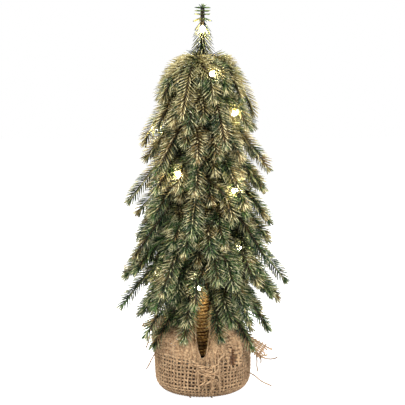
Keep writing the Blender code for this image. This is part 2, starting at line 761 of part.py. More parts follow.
def contact_x(end):
    """Middle of a contact's sheet at the tray's end -1 or 1."""
    return end * (TRAY_LENGTH / 2 - GAP - CONTACT_THICKNESS / 2)


def cell_start(end):
    """Where a cell's button meets the contact at the tray's end -1 or 1."""
    return end * (TRAY_LENGTH / 2 - 2 * GAP - CONTACT_THICKNESS)


def build_cell(number, end, material):
    """One cell; its button points to the tray's end -1 or 1."""
    body_end = CELL_LENGTH - CELL_BUTTON_LENGTH
    chamfer = 0.0006
    outline = [
        (0.0, 0.0),
        (CELL_RADIUS - chamfer, 0.0),
        (CELL_RADIUS, chamfer),
        (CELL_RADIUS, body_end - chamfer),
        (CELL_RADIUS - chamfer, body_end),
        (CELL_BUTTON_RADIUS, body_end),
        (CELL_BUTTON_RADIUS, CELL_LENGTH),
        (0.0, CELL_LENGTH),
    ]
    bm = revolved(outline, CELL_SIDES)
    bmesh.ops.rotate(bm, verts=bm.verts, matrix=Matrix.Rotation(end * math.pi / 2, 3, "Y"))
    moved(bm, cell_start(end) - end * CELL_LENGTH, end * CELL_Y, CELL_Z)
    return make_object(f"battery_cell_{number}", bm, material)


def coil(end, y):
    """The cone spring on the contact at the tray's end -1 or 1."""
    start = contact_x(end)
    steps = int(12 * SPRING_TURNS)
    length = SPRING_LENGTH + CONTACT_THICKNESS / 2 - SPRING_WIRE
    points = []
    for i in range(steps + 1):
        t = i / steps
        angle = 2 * math.pi * SPRING_TURNS * t
        radius = SPRING_FOOT_RADIUS + (SPRING_TOP_RADIUS - SPRING_FOOT_RADIUS) * t
        points.append(
            Vector((start - end * length * t, y + radius * math.cos(angle), CELL_Z + radius * math.sin(angle)))
        )
    return make_object(f"coil_{'left' if end < 0 else 'right'}", swept(points, [SPRING_WIRE] * len(points), 6), None)


def contact_sheet(end, y, width):
    sheet = rounded_box(CONTACT_THICKNESS, width, CONTACT_HEIGHT)
    return moved(sheet, contact_x(end), y, CELL_Z - CONTACT_HEIGHT / 2)


def tail(y):
    """The solder tail of a contact, through the tray's roof."""
    bottom = CELL_Z
    bm = rounded_box(CONTACT_THICKNESS * 0.9, TAIL_WIDTH, TRAY_TOP + TAIL_LENGTH - bottom)
    return make_object(f"tail_{'front' if y < 0 else 'back'}", moved(bm, contact_x(-1), y, bottom), None)


def build_contacts(material):
    """A bridge at one end of the tray, and a spring and a plate at the other."""
    bridge_width = 2 * CELL_Y + CONTACT_WIDTH
    bridge = make_object("bridge_contact", contact_sheet(1, 0.0, bridge_width), material, smooth=False)
    boolean(bridge, coil(1, -CELL_Y), "UNION")
    spring = make_object("spring_contact", contact_sheet(-1, CELL_Y, CONTACT_WIDTH), material, smooth=False)
    boolean(spring, coil(-1, CELL_Y), "UNION")
    boolean(spring, tail(CELL_Y), "UNION")
    plate = make_object("plate_contact", contact_sheet(-1, -CELL_Y, CONTACT_WIDTH), material, smooth=False)
    boolean(plate, tail(-CELL_Y), "UNION")


def build_door(material):
    """The battery door, with a rib between the cells and finger grooves outside."""
    plate = rounded_box(DOOR_LENGTH, DOOR_WIDTH, POT_WALL, DOOR_CORNER)
    door = make_object("battery_door", moved(plate, z=POT_OFFSET), material)
    rib = rounded_box(0.7 * CELL_LENGTH, DOOR_RIB_WIDTH, DOOR_RIB_HEIGHT + POT_WALL / 2)
    rib_object = make_object("door_rib", moved(rib, z=POT_OFFSET + POT_WALL / 2), None)
    boolean(door, rib_object, "UNION")
    grooves = bmesh.new()
    for i in range(DOOR_GROOVES):
        groove = rounded_box(DOOR_GROOVE_STEP / 2, DOOR_WIDTH / 2, DOOR_GROOVE_DEPTH + CUT)
        x = DOOR_LENGTH / 2 - (i + 2) * DOOR_GROOVE_STEP
        joined(grooves, moved(groove, x, 0.0, POT_OFFSET - CUT))
    boolean(door, make_object("finger_grooves", grooves, None))
    return door


# ---------------------------------------------------------------- switch, board and leads
def build_switch(body_material, knob_material):
    body = rounded_box(*SWITCH_SIZE)
    switch = make_object("switch_body", moved(body, 0.0, SWITCH_Y, POT_FLOOR_TOP + GAP), body_material, smooth=False)
    room = rounded_box(
        KNOB_SIZE[0] + SWITCH_TRAVEL + 2 * SLIDE_GAP,
        KNOB_SIZE[1] + 2 * SLIDE_GAP,
        KNOB_IN_SWITCH + SLIDE_GAP + CUT,
    )
    boolean(switch, make_object("knob_room", moved(room, 0.0, SWITCH_Y, POT_FLOOR_TOP + GAP - CUT), None))
    knob_top = POT_FLOOR_TOP + GAP + KNOB_IN_SWITCH
    knob = rounded_box(*KNOB_SIZE, knob_top - KNOB_ABOVE_FLOOR)
    moved(knob, -SWITCH_TRAVEL / 2, SWITCH_Y, KNOB_ABOVE_FLOOR)
    make_object("switch_knob", knob, knob_material, smooth=False)


def build_board(material):
    board = make_object("timer_board", moved(rounded_box(*BOARD_SIZE), y=BOARD_Y, z=BOARD_Z), material, smooth=False)
    chip = rounded_box(CHIP_SIZE[0], CHIP_SIZE[1], CHIP_SIZE[2] + BOARD_SIZE[2] / 2)
    boolean(board, make_object("chip", moved(chip, y=BOARD_Y, z=BOARD_Z + BOARD_SIZE[2] / 2), None), "UNION")
    return board


def build_lead(name, y, landing_x, material):
    """A short lead from a contact's tail over the tray's roof, down to the board."""
    over = TRAY_TOP + TAIL_LENGTH + GAP + LEAD_RADIUS
    edge_y = TRAY_OUTER_WIDTH / 2
    end_z = BOARD_Z + BOARD_SIZE[2] + GAP
    points = [
        Vector((contact_x(-1) - CONTACT_THICKNESS, y, over)),
        Vector((contact_x(-1) + 0.006, y + 0.001, over)),
        Vector((landing_x - 0.005, edge_y - 0.008, over)),
        Vector((landing_x, edge_y + 0.0005, over - 0.0008)),
        Vector((landing_x, BOARD_Y - 0.002, (over + end_z) / 2)),
        Vector((landing_x, BOARD_Y - 0.001, end_z)),
    ]
    return wire_object(name, smooth_route(points, 3), LEAD_RADIUS, 1, material)


# ---------------------------------------------------------------- the whole tree
def main():
    clear_scene()
    needles = make_material("needles", (0.060, 0.105, 0.040), 0.6)
    steel = make_material("steel", (0.45, 0.45, 0.46), 0.35, 1.0)
    bark = make_material("bark_wrap", (0.150, 0.075, 0.030), 0.9)
    burlap = make_material("burlap", (0.360, 0.235, 0.145), 0.95)
    dark_plastic = make_material("pot_plastic", (0.045, 0.028, 0.018), 0.5)
    black_plastic = make_material("black_plastic", (0.015, 0.015, 0.016), 0.45)
    cement = make_material("cement", (0.42, 0.41, 0.39), 0.95)
    nickel = make_material("nickel", (0.70, 0.69, 0.66), 0.25, 1.0)
    cell_wrap = make_material("cell_wrap", (0.030, 0.032, 0.036), 0.35)
    board_green = make_material("board_green", (0.020, 0.120, 0.045), 0.4)
    knob_white = make_material("knob_white", (0.80, 0.80, 0.78), 0.4)
    red_lead = make_material("red_lead", (0.45, 0.02, 0.02), 0.4)
    black_lead = make_material("black_lead", (0.02, 0.02, 0.02), 0.4)
    silver_wire = make_material("silver_wire", (0.75, 0.72, 0.64), 0.3, 1.0)
    epoxy = make_material("led_epoxy", (1.0, 0.86, 0.55), 0.15)

    build_bag(burlap)
    build_pot(dark_plastic)
    build_weight(cement)
    build_tray(black_plastic)
    build_door(dark_plastic)
    build_cell(1, 1, cell_wrap)
    build_cell(2, -1, cell_wrap)
    build_contacts(nickel)
    build_switch(black_plastic, knob_white)
    build_board(board_green)
    build_lead("lead_negative", CELL_Y, -0.0085, black_lead)
    build_lead("lead_positive", -CELL_Y, -0.0050, red_lead)
    build_rod(steel)
    build_wrap(bark)
    build_leader(needles)
    for name, tier, turn, twigs in spray_layout():
        build_spray(name, tier, turn, twigs, needles)
    build_lights(silver_wire, epoxy)


main()
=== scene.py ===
"""The looks of an artificial tabletop tree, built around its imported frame.

The frame gives every solid at its real size. This script grows needles on the
sprays, weaves the burlap round the base, winds the trunk's cord, finishes the
battery gear and lights the whole tree in a plain white studio.
"""

import logging
import math
import random
from dataclasses import dataclass, field
from enum import Enum
from typing import Callable, Iterable, Sequence

import bpy
import numpy as np
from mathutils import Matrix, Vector


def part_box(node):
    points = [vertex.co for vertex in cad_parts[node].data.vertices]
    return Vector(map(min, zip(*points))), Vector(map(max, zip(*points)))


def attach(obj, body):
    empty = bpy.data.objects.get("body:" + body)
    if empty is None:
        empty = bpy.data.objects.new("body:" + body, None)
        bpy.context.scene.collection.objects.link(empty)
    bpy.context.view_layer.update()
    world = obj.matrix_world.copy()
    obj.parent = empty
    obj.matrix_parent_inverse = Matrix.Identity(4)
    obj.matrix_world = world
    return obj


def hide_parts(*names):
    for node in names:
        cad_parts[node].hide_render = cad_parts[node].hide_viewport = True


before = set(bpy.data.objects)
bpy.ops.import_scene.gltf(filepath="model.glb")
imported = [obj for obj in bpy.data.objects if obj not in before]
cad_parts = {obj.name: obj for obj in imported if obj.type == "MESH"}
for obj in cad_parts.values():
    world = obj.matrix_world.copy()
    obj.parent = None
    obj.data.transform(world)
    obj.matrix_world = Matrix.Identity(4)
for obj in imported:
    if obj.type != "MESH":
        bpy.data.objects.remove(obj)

TREE_BODY = "tree"
MILLIMETRE = 0.001

log = logging.getLogger("tabletop_tree")

Array = np.ndarray
Colour = tuple[float, float, float]


# ------------------------------------------------------------------ small geometry helpers
def smooth_step(value: Array | float) -> Array | float:
    """Eases a share from 0 to 1 with level ends.

    Args:
        value: The share; it is clipped to 0..1 first.

    Returns:
        The eased share.
    """
    clipped = np.clip(value, 0.0, 1.0)
    return clipped * clipped * (3.0 - 2.0 * clipped)


def unit(vectors: Array) -> Array:
    """Scales vectors along the last axis to length one."""
    lengths = np.linalg.norm(vectors, axis=-1, keepdims=True)
    return vectors / np.maximum(lengths, 1e-12)


def across(vectors: Array, along: Array) -> Array:
    """The part of each vector that is square to a unit direction, at length one."""
    return unit(vectors - along * np.sum(vectors * along, axis=-1, keepdims=True))


def polar(radius: Array | float, degrees: Array | float, height: Array | float) -> Array:
    """Points from distances off the axis, directions in degrees and heights."""
    angle = np.radians(degrees)
    return np.stack(
        np.broadcast_arrays(radius * np.cos(angle), radius * np.sin(angle), height), axis=-1
    )


def wrapped(degrees: Array | float) -> Array | float:
    """The same direction, from -180 up to 180 degrees."""
    return (degrees + 180) % 360 - 180


def lengths_along(line: Array) -> Array:
    """How far along a line each of its points is."""
    steps = np.linalg.norm(np.diff(line, axis=0), axis=1)
    return np.concatenate([[0.0], np.cumsum(steps)])


def flowing_line(points: Sequence[Sequence[float]] | Array, per_span: int) -> Array:
    """A smooth line through points, as a Catmull-Rom curve.

    Args:
        points: The points that the line passes through.
        per_span: How many steps each span is cut into.

    Returns:
        The line's points, first and last included.
    """
    given = np.asarray(points, dtype=float)
    ends = np.vstack([2 * given[0] - given[1], given, 2 * given[-1] - given[-2]])
    share = (np.arange(per_span) / per_span)[:, None]
    spans = []
    for p0, p1, p2, p3 in zip(ends, ends[1:], ends[2:], ends[3:]):
        spans.append(
            0.5
            * (
                2 * p1
                + (p2 - p0) * share
                + (2 * p0 - 5 * p1 + 4 * p2 - p3) * share**2
                + (3 * p1 - 3 * p2 + p3 - p0) * share**3
            )
        )
    return np.vstack(spans + [given[-1:]])


def evenly_spaced(line: Array, spacing: float) -> tuple[Array, Array]:
    """Points at even spacing along a line.

    Args:
        line: The line's points.
        spacing: The wanted distance between two points.

    Returns:
        The points and how far along the line each one is.
    """
    reached = lengths_along(line)
    count = max(2, int(reached[-1] / spacing) + 1)
    wanted = np.linspace(0.0, reached[-1], count)
    placed = np.stack([np.interp(wanted, reached, line[:, i]) for i in range(3)], axis=1)
    return placed, wanted


def directions_of(line: Array, closed: bool = False) -> Array:
    """The unit direction of a line at each of its points."""
    if closed:
        return unit(np.roll(line, -1, axis=0) - np.roll(line, 1, axis=0))
    return unit(np.gradient(line, axis=0))


# ------------------------------------------------------------------ meshes
@dataclass
class Shape:
    """Vertices and quads of a growing mesh, with values that its finish reads.

    Args:
        values: The names of the per-vertex values, such as "tone".
    """

    values: tuple[str, ...] = ("tone", "share")
    points: list[Array] = field(default_factory=list)
    quads: list[Array] = field(default_factory=list)
    numbers: dict[str, list[Array]] = field(default_factory=dict)
    count: int = 0

    def add(self, points: Array, quads: Array, **numbers: Array | float) -> None:
        """Adds a block of vertices and quads.

        Args:
            points: The vertices, as rows of three numbers.
            quads: The faces, as rows of four places in the block.
            **numbers: One value, or one per vertex, for each named value.
        """
        self.points.append(points)
        self.quads.append(quads + self.count)
        for name in self.values:
            given = np.broadcast_to(np.asarray(numbers.get(name, 0.0), float), (len(points),))
            self.numbers.setdefault(name, []).append(given)
        self.count += len(points)

    def build(self, name: str) -> bpy.types.Object:
        """Makes the mesh object, with its faces shaded smooth.

        Args:
            name: The piece's name.

        Returns:
            The object, at the origin with its place in its mesh.
        """
        points = np.vstack(self.points)
        quads = np.vstack(self.quads)
        mesh = bpy.data.meshes.new(name)
        mesh.vertices.add(len(points))
        mesh.vertices.foreach_set("co", points.astype(np.float32).ravel())
        mesh.loops.add(quads.size)
        mesh.loops.foreach_set("vertex_index", quads.astype(np.int32).ravel())
        mesh.polygons.add(len(quads))
        mesh.polygons.foreach_set("loop_start", np.arange(0, quads.size, 4, dtype=np.int32))
        mesh.update(calc_edges=True)
        mesh.polygons.foreach_set("use_smooth", np.full(len(quads), True))
        for value, blocks in self.numbers.items():
            attribute = mesh.attributes.new(value, "FLOAT", "POINT")
            attribute.data.foreach_set("value", np.concatenate(blocks).astype(np.float32))
        obj = bpy.data.objects.new(name, mesh)
        bpy.context.scene.collection.objects.link(obj)
        return obj

    def add_tube(
        self,
        line: Array,
        wide: Array | float,
        thick: Array | float | None = None,
        facing: Array | None = None,
        sides: int = 6,
        closed: bool = False,
        **numbers: Array | float,
    ) -> None:
        """Adds a tube or a flat strand along a line.

        Args:
            line: The points down its middle.
            wide: Half its width, once or at each point.
            thick: Half its thickness, or None where it is round.
            facing: The direction that its flat side faces, once or at each point.
            sides: The corners of its cross-section.
            closed: Whether its end joins its start.
            **numbers: Values for the finish, once or at each point.
        """
        rows = len(line)
        along = directions_of(line, closed)
        if facing is None:
            facing = steady_normals(along)
        normal = across(np.broadcast_to(facing, line.shape), along)
        side = np.cross(along, normal)
        wide = np.broadcast_to(np.asarray(wide, float), (rows,))
        thick = wide if thick is None else np.broadcast_to(np.asarray(thick, float), (rows,))
        turn = 2 * np.pi * np.arange(sides) / sides
        ring = (
            line[:, None]
            + side[:, None] * (wide[:, None] * np.cos(turn))[..., None]
            + normal[:, None] * (thick[:, None] * np.sin(turn))[..., None]
        )
        spread = {}
        for name, given in numbers.items():
            given = np.broadcast_to(np.asarray(given, float), (rows,))
            spread[name] = np.repeat(given, sides)
        spread["around"] = np.tile(np.arange(sides) / sides, rows)
        self.add(ring.reshape(-1, 3), tube_quads(rows, sides, closed), **spread)


def steady_normals(along: Array) -> Array:
    """Directions square to a line that turn as little as possible along it."""
    start = np.array([0.0, 0.0, 1.0]) if abs(along[0][2]) < 0.9 else np.array([1.0, 0.0, 0.0])
    normals = np.empty_like(along)
    current = start
    for i, forward in enumerate(along):
        current = current - forward * float(np.dot(current, forward))
        current = current / max(float(np.linalg.norm(current)), 1e-12)
        normals[i] = current
    return normals


def tube_quads(rows: int, sides: int, closed: bool) -> Array:
    """The faces of a tube whose rings follow one another.

    Args:
        rows: How many rings it has.
        sides: The corners of each ring.
        closed: Whether the last ring joins the first; if not, its ends are filled.

    Returns:
        Rows of four places, all facing outwards.
    """
    row = np.arange(rows if closed else rows - 1)[:, None]
    corner = np.arange(sides)[None]
    after = (corner + 1) % sides
    above = (row + 1) % rows
    quads = np.stack(
        [row * sides + corner, row * sides + after, above * sides + after, above * sides + corner],
        axis=-1,
    ).reshape(-1, 4)
    if closed:
        return quads
    caps = []
    last = (rows - 1) * sides
    for i in range(1, sides - 1, 2):
        far = min(i + 2, sides - 1)
        if far == i + 1:
            continue
        caps.append([0, far, i + 1, i])
        caps.append([last, last + i, last + i + 1, last + far])
    return np.vstack([quads, np.array(caps, dtype=int)])


# ------------------------------------------------------------------ shader node groups
class NodeTools:
    """Adds nodes to a tree with short calls."""

    def __init__(self, tree: bpy.types.NodeTree) -> None:
        """Keeps the tree that the nodes go into."""
        self.tree = tree

    def add(self, kind: str, **values: object) -> bpy.types.Node:
        """Adds a node.

        Args:
            kind: The node's type name without "ShaderNode".
            **values: Properties, and sockets by their name with underscores.

        Returns:
            The node.
        """
        node = self.tree.nodes.new("ShaderNode" + kind)
        for name, value in values.items():
            if hasattr(node, name):
                setattr(node, name, value)
            else:
                self.feed(node, name.replace("_", " "), value)
        return node

    def feed(self, node: bpy.types.Node, name: str, value: object) -> None:
        """Sets a socket's value, or links it where the value is a socket."""
        socket = next(s for s in node.inputs if s.name.lower() == name.lower() and s.enabled)
        if isinstance(value, bpy.types.NodeSocket):
            self.tree.links.new(value, socket)
        elif isinstance(value, tuple) and len(value) == 3 and socket.type == "RGBA":
            socket.default_value = (*value, 1.0)
        else:
            socket.default_value = value

    def mix(self, share: object, first: object, second: object, blend: str = "MIX") -> bpy.types.NodeSocket:
        """Mixes two colours.

        Args:
            share: How much of the second shows, as a number or a socket.
            first: The first colour or socket.
            second: The second colour or socket.
            blend: How they mix.

        Returns:
            The mixed colour's socket.
        """
        node = self.tree.nodes.new("ShaderNodeMix")
        node.data_type = "RGBA"
        node.blend_type = blend
        self.feed(node, "Factor", share)
        self.feed(node, "A", first)
        self.feed(node, "B", second)
        return next(s for s in node.outputs if s.enabled)

    def ramp(
        self, value: bpy.types.NodeSocket, low: float, high: float, to_low: float = 0.0, to_high: float = 1.0
    ) -> bpy.types.NodeSocket:
        """Maps a value from one range to another, smoothly and clamped."""
        node = self.add("MapRange", interpolation_type="SMOOTHSTEP")
        self.tree.links.new(value, node.inputs["Value"])
        for name, number in (("From Min", low), ("From Max", high), ("To Min", to_low), ("To Max", to_high)):
            node.inputs[name].default_value = number
        return node.outputs["Result"]

    def math(self, operation: str, first: object, second: object = 0.0) -> bpy.types.NodeSocket:
        """Works out a number from two."""
        node = self.tree.nodes.new("ShaderNodeMath")
        node.operation = operation
        for socket, value in zip(node.inputs, (first, second)):
            if isinstance(value, bpy.types.NodeSocket):
                self.tree.links.new(value, socket)
            else:
                socket.default_value = value
        return node.outputs[0]

    def attribute(self, name: str) -> bpy.types.NodeSocket:
        """The number that a mesh carries under a name."""
        node = self.tree.nodes.new("ShaderNodeAttribute")
        node.attribute_name = name
        return node.outputs["Fac"]

    def place(self) -> bpy.types.NodeSocket:
        """The object's own coordinates."""
        return self.tree.nodes.new("ShaderNodeTexCoord").outputs["Object"]


class Effect(Enum):
    """The surface effects that several finishes share."""

    GRAIN = "surface_grain"
    SPECKLE = "glitter_speckle"
    FIBRE = "fibre_strands"
    WEAR = "worn_patches"


class EffectLibrary:
    """Builds each effect's node group once and hands it to the finishes."""

    def __init__(self) -> None:
        """Starts with no groups; each is built when it is first asked for."""
        self._builders: dict[Effect, Callable[[], bpy.types.NodeTree]] = {
            Effect.GRAIN: self._grain,
            Effect.SPECKLE: self._speckle,
            Effect.FIBRE: self._fibre,
            Effect.WEAR: self._wear,
        }
        self._groups: dict[Effect, bpy.types.NodeTree] = {}

    def place(self, tools: NodeTools, effect: Effect, **values: object) -> bpy.types.Node:
        """Puts an effect into a material.

        Args:
            tools: The material's node tools.
            effect: Which effect.
            **values: Its inputs.

        Returns:
            The group node.
        """
        if effect not in self._groups:
            self._groups[effect] = self._builders[effect]()
        node = tools.tree.nodes.new("ShaderNodeGroup")
        node.node_tree = self._groups[effect]
        for name, value in values.items():
            tools.feed(node, name.replace("_", " "), value)
        return node

    @staticmethod
    def _new(
        effect: Effect, inputs: dict[str, tuple[str, object]], outputs: Iterable[str]
    ) -> tuple[NodeTools, bpy.types.Node, bpy.types.Node]:
        """Starts a group with named inputs and outputs."""
        group = bpy.data.node_groups.new(effect.value, "ShaderNodeTree")
        for name, (kind, value) in inputs.items():
            socket = group.interface.new_socket(name, in_out="INPUT", socket_type=kind)
            if value is not None:
                socket.default_value = value
        for name in outputs:
            group.interface.new_socket(name, in_out="OUTPUT", socket_type="NodeSocketFloat")
        entry = group.nodes.new("NodeGroupInput")
        leave = group.nodes.new("NodeGroupOutput")
        return NodeTools(group), entry, leave

    def _grain(self) -> bpy.types.NodeTree:
        """Fine moulded or cast grain: a height and a slow mottle."""
        inputs = {
            "Place": ("NodeSocketVector", None),
            "Scale": ("NodeSocketFloat", 900.0),
            "Mottle Scale": ("NodeSocketFloat", 60.0),
        }
        tools, entry, leave = self._new(Effect.GRAIN, inputs, ("Height", "Mottle"))
        fine = tools.add("TexNoise", Vector=entry.outputs["Place"], Scale=entry.outputs["Scale"], Detail=3.0)
        mottle_scale = entry.outputs["Mottle Scale"]
        slow = tools.add("TexNoise", Vector=entry.outputs["Place"], Scale=mottle_scale, Detail=4.0)
        tools.tree.links.new(fine.outputs["Fac"], leave.inputs["Height"])
        tools.tree.links.new(slow.outputs["Fac"], leave.inputs["Mottle"])
        return tools.tree

    def _speckle(self) -> bpy.types.NodeTree:
        """Scattered flakes, as one mask."""
        inputs = {
            "Place": ("NodeSocketVector", None),
            "Scale": ("NodeSocketFloat", 1100.0),
            "Cover": ("NodeSocketFloat", 0.1),
        }
        tools, entry, leave = self._new(Effect.SPECKLE, inputs, ("Flakes",))
        cells = tools.add("TexVoronoi", Vector=entry.outputs["Place"], Scale=entry.outputs["Scale"])
        parts = tools.add("SeparateColor", Color=cells.outputs["Color"])
        chosen = tools.math("LESS_THAN", parts.outputs[0], entry.outputs["Cover"])
        small = tools.math("LESS_THAN", cells.outputs["Distance"], 0.45)
        tools.tree.links.new(tools.math("MULTIPLY", chosen, small), leave.inputs["Flakes"])
        return tools.tree

    def _fibre(self) -> bpy.types.NodeTree:
        """Twisted strands along a thread: a height, and light and dark fibres."""
        inputs = {
            "Place": ("NodeSocketVector", None),
            "Around": ("NodeSocketFloat", 0.0),
            "Along": ("NodeSocketFloat", 0.0),
            "Twist": ("NodeSocketFloat", 1.0),
            "Strands": ("NodeSocketFloat", 3.0),
        }
        tools, entry, leave = self._new(Effect.FIBRE, inputs, ("Height", "Fibres"))
        twisted = tools.math("MULTIPLY", entry.outputs["Along"], entry.outputs["Twist"])
        turned = tools.math("ADD", entry.outputs["Around"], twisted)
        phase = tools.math("MULTIPLY", tools.math("MULTIPLY", turned, entry.outputs["Strands"]), 2 * math.pi)
        ridges = tools.ramp(tools.math("SINE", phase), -1.0, 1.0)
        noise = tools.add("TexNoise", Vector=entry.outputs["Place"], Scale=1400.0, Detail=3.0, Roughness=0.7)
        height = tools.math("ADD", ridges, tools.math("MULTIPLY", noise.outputs["Fac"], 0.8))
        tools.tree.links.new(height, leave.inputs["Height"])
        slow = tools.add("TexNoise", Vector=entry.outputs["Place"], Scale=350.0, Detail=5.0, Roughness=0.75)
        tools.tree.links.new(slow.outputs["Fac"], leave.inputs["Fibres"])
        return tools.tree

    def _wear(self) -> bpy.types.NodeTree:
        """Rubbed and dusty patches as one mask."""
        inputs = {
            "Place": ("NodeSocketVector", None),
            "Scale": ("NodeSocketFloat", 90.0),
            "Amount": ("NodeSocketFloat", 0.5),
        }
        tools, entry, leave = self._new(Effect.WEAR, inputs, ("Mask",))
        place, scale = entry.outputs["Place"], entry.outputs["Scale"]
        noise = tools.add("TexNoise", Vector=place, Scale=scale, Detail=6.0, Roughness=0.65)
        mask = tools.ramp(noise.outputs["Fac"], 0.5, 0.72)
        tools.tree.links.new(tools.math("MULTIPLY", mask, entry.outputs["Amount"]), leave.inputs["Mask"])
        return tools.tree


EFFECTS = EffectLibrary()


def new_material(name: str, **sockets: object) -> tuple[bpy.types.Material, NodeTools, bpy.types.Node]:
    """Starts a material with one Principled shader.

    Args:
        name: The material's name.
        **sockets: Values set straight on the shader's sockets.

    Returns:
        The material, its node tools and its shader.
    """
    material = bpy.data.materials.new(name)
    material.use_nodes = True
    shader = material.node_tree.nodes["Principled BSDF"]
    tools = NodeTools(material.node_tree)
    for socket, value in sockets.items():
        tools.feed(shader, socket.replace("_", " "), value)
    return material, tools, shader


def add_bump(
    tools: NodeTools, shader: bpy.types.Node, height: bpy.types.NodeSocket, distance: float
) -> None:
    """Feeds a height into a shader's normal.

    Args:
        tools: The material's node tools.
        shader: The shader.
        height: The height's socket, from 0 to about 1.
        distance: How high 1 stands, in metres.
    """
    bump = tools.add("Bump", Height=height, Distance=distance, Strength=1.0)
    tools.tree.links.new(bump.outputs["Normal"], shader.inputs["Normal"])


def add_fibre(tools: NodeTools, twist: float, strands: float) -> bpy.types.Node:
    """Places the fibre effect along the threads of a mesh.

    Args:
        tools: The material's node tools.
        twist: Turns of twist for each metre of thread.
        strands: How many strands are twisted together.

    Returns:
        The effect's node.
    """
    place = tools.place()
    around, along = tools.attribute("around"), tools.attribute("along")
    return EFFECTS.place(
        tools, Effect.FIBRE, Place=place, Around=around, Along=along, Twist=twist, Strands=strands
    )


# ------------------------------------------------------------------ finishes
@dataclass(frozen=True)
class NeedleFinish:
    """Moulded fir needles, green below and bronzed above, with glitter."""

    deep: Colour = (0.003, 0.027, 0.010)
    fresh: Colour = (0.078, 0.155, 0.038)
    bronze: Colour = (0.250, 0.160, 0.052)
    gold: Colour = (0.330, 0.265, 0.100)
    pale: Colour = (0.900, 0.820, 0.450)
    flake: Colour = (1.000, 0.930, 0.720)
    stem: Colour = (0.075, 0.050, 0.022)
    low: float = 0.06
    high: float = 0.36
    bronze_share: tuple[float, float] = (-0.32, 0.24)
    green_tip_from: float = 0.372
    green_tip_to: float = 0.392
    gold_from: float = 0.25
    gold_to: float = 0.33
    pale_share: tuple[float, float] = (0.86, 0.42)

    def build(self) -> bpy.types.Material:
        """Makes the material, which reads the needles' tone, share, coat and stem values; needle roots and
        thinly coated needles are darkened as painted shade.
        """
        material, tools, shader = new_material("fir_needles", Specular_IOR_Level=0.32)
        place = tools.place()
        height = tools.add("SeparateXYZ", Vector=place).outputs["Z"]
        tone = tools.attribute("tone")
        share = tools.attribute("share")
        cloud = tools.add("TexNoise", Vector=place, Scale=58.0, Detail=3.0, Roughness=0.6)
        patches = tools.ramp(cloud.outputs["Fac"], 0.34, 0.66, 0.02, 0.94)
        coat_and_shade = tools.attribute("coat_and_shade")
        # A low coat leans the green towards the deep colour: partly unsprayed needles, partly painted shade
        # inside the tree.
        fresher = tools.math("MULTIPLY", tools.ramp(tone, 0.1, 0.95), tools.ramp(coat_and_shade, 0.0, 0.7, 0.15, 1.0))
        green = tools.mix(fresher, self.deep, self.fresh)
        rise = tools.ramp(height, self.low, self.high, *self.bronze_share)
        green_tip = tools.ramp(height, self.green_tip_from, self.green_tip_to, 0.0, 0.75)
        lift = tools.math("SUBTRACT", rise, green_tip)
        amount = tools.math("ADD", lift, tools.math("ADD", patches, tools.math("MULTIPLY", tone, 0.35)))
        warm = tools.mix(tools.ramp(height, self.gold_from, self.gold_to), self.bronze, self.gold)
        bronzed = tools.mix(tools.math("MULTIPLY", tools.ramp(amount, 0.42, 0.98), coat_and_shade), green, warm)
        chosen = tools.ramp(tools.math("FRACT", tools.math("MULTIPLY", tone, 7.0)), 0.40, 0.70)
        ended = tools.math("MULTIPLY", tools.ramp(share, 0.35, 0.85), chosen)
        paled = tools.math("MULTIPLY", ended, tools.ramp(amount, 0.30, 1.0, 0.50, 1.0))
        paled = tools.math("MULTIPLY", paled, tools.ramp(height, 0.27, 0.35, *self.pale_share))
        # Painted shade: each needle is darkened towards its root, and almost to black where its coat is low
        # (inner, under-side and trunk needles). This stands in for the shade between and inside the sprays.
        root_painted_shade = tools.ramp(share, 0.05, 0.60, 0.20, 1.0)
        depth = tools.math("MULTIPLY", root_painted_shade, tools.ramp(coat_and_shade, 0.0, 0.7, 0.07, 1.0))
        painted_shade_grey = tools.add("CombineColor", Red=depth, Green=depth, Blue=depth).outputs[0]
        shaded_colour = tools.mix(1.0, bronzed, painted_shade_grey, "MULTIPLY")
        tipped = tools.mix(tools.math("MULTIPLY", paled, coat_and_shade), shaded_colour, self.pale)
        flakes = EFFECTS.place(tools, Effect.SPECKLE, Place=place, Scale=1250.0, Cover=0.15)
        glittered = tools.mix(tools.math("MULTIPLY", flakes.outputs["Flakes"], coat_and_shade), tipped, self.flake)
        stems = tools.attribute("stem")
        tools.feed(shader, "Base Color", tools.mix(stems, glittered, self.stem))
        tools.feed(shader, "Roughness", tools.ramp(flakes.outputs["Flakes"], 0.0, 1.0, 0.38, 0.20))
        tools.feed(shader, "Metallic", tools.math("MULTIPLY", flakes.outputs["Flakes"], 0.55))
        grain = EFFECTS.place(tools, Effect.GRAIN, Place=place, Scale=1700.0)
        add_bump(tools, shader, grain.outputs["Height"], 0.00018)
        return material


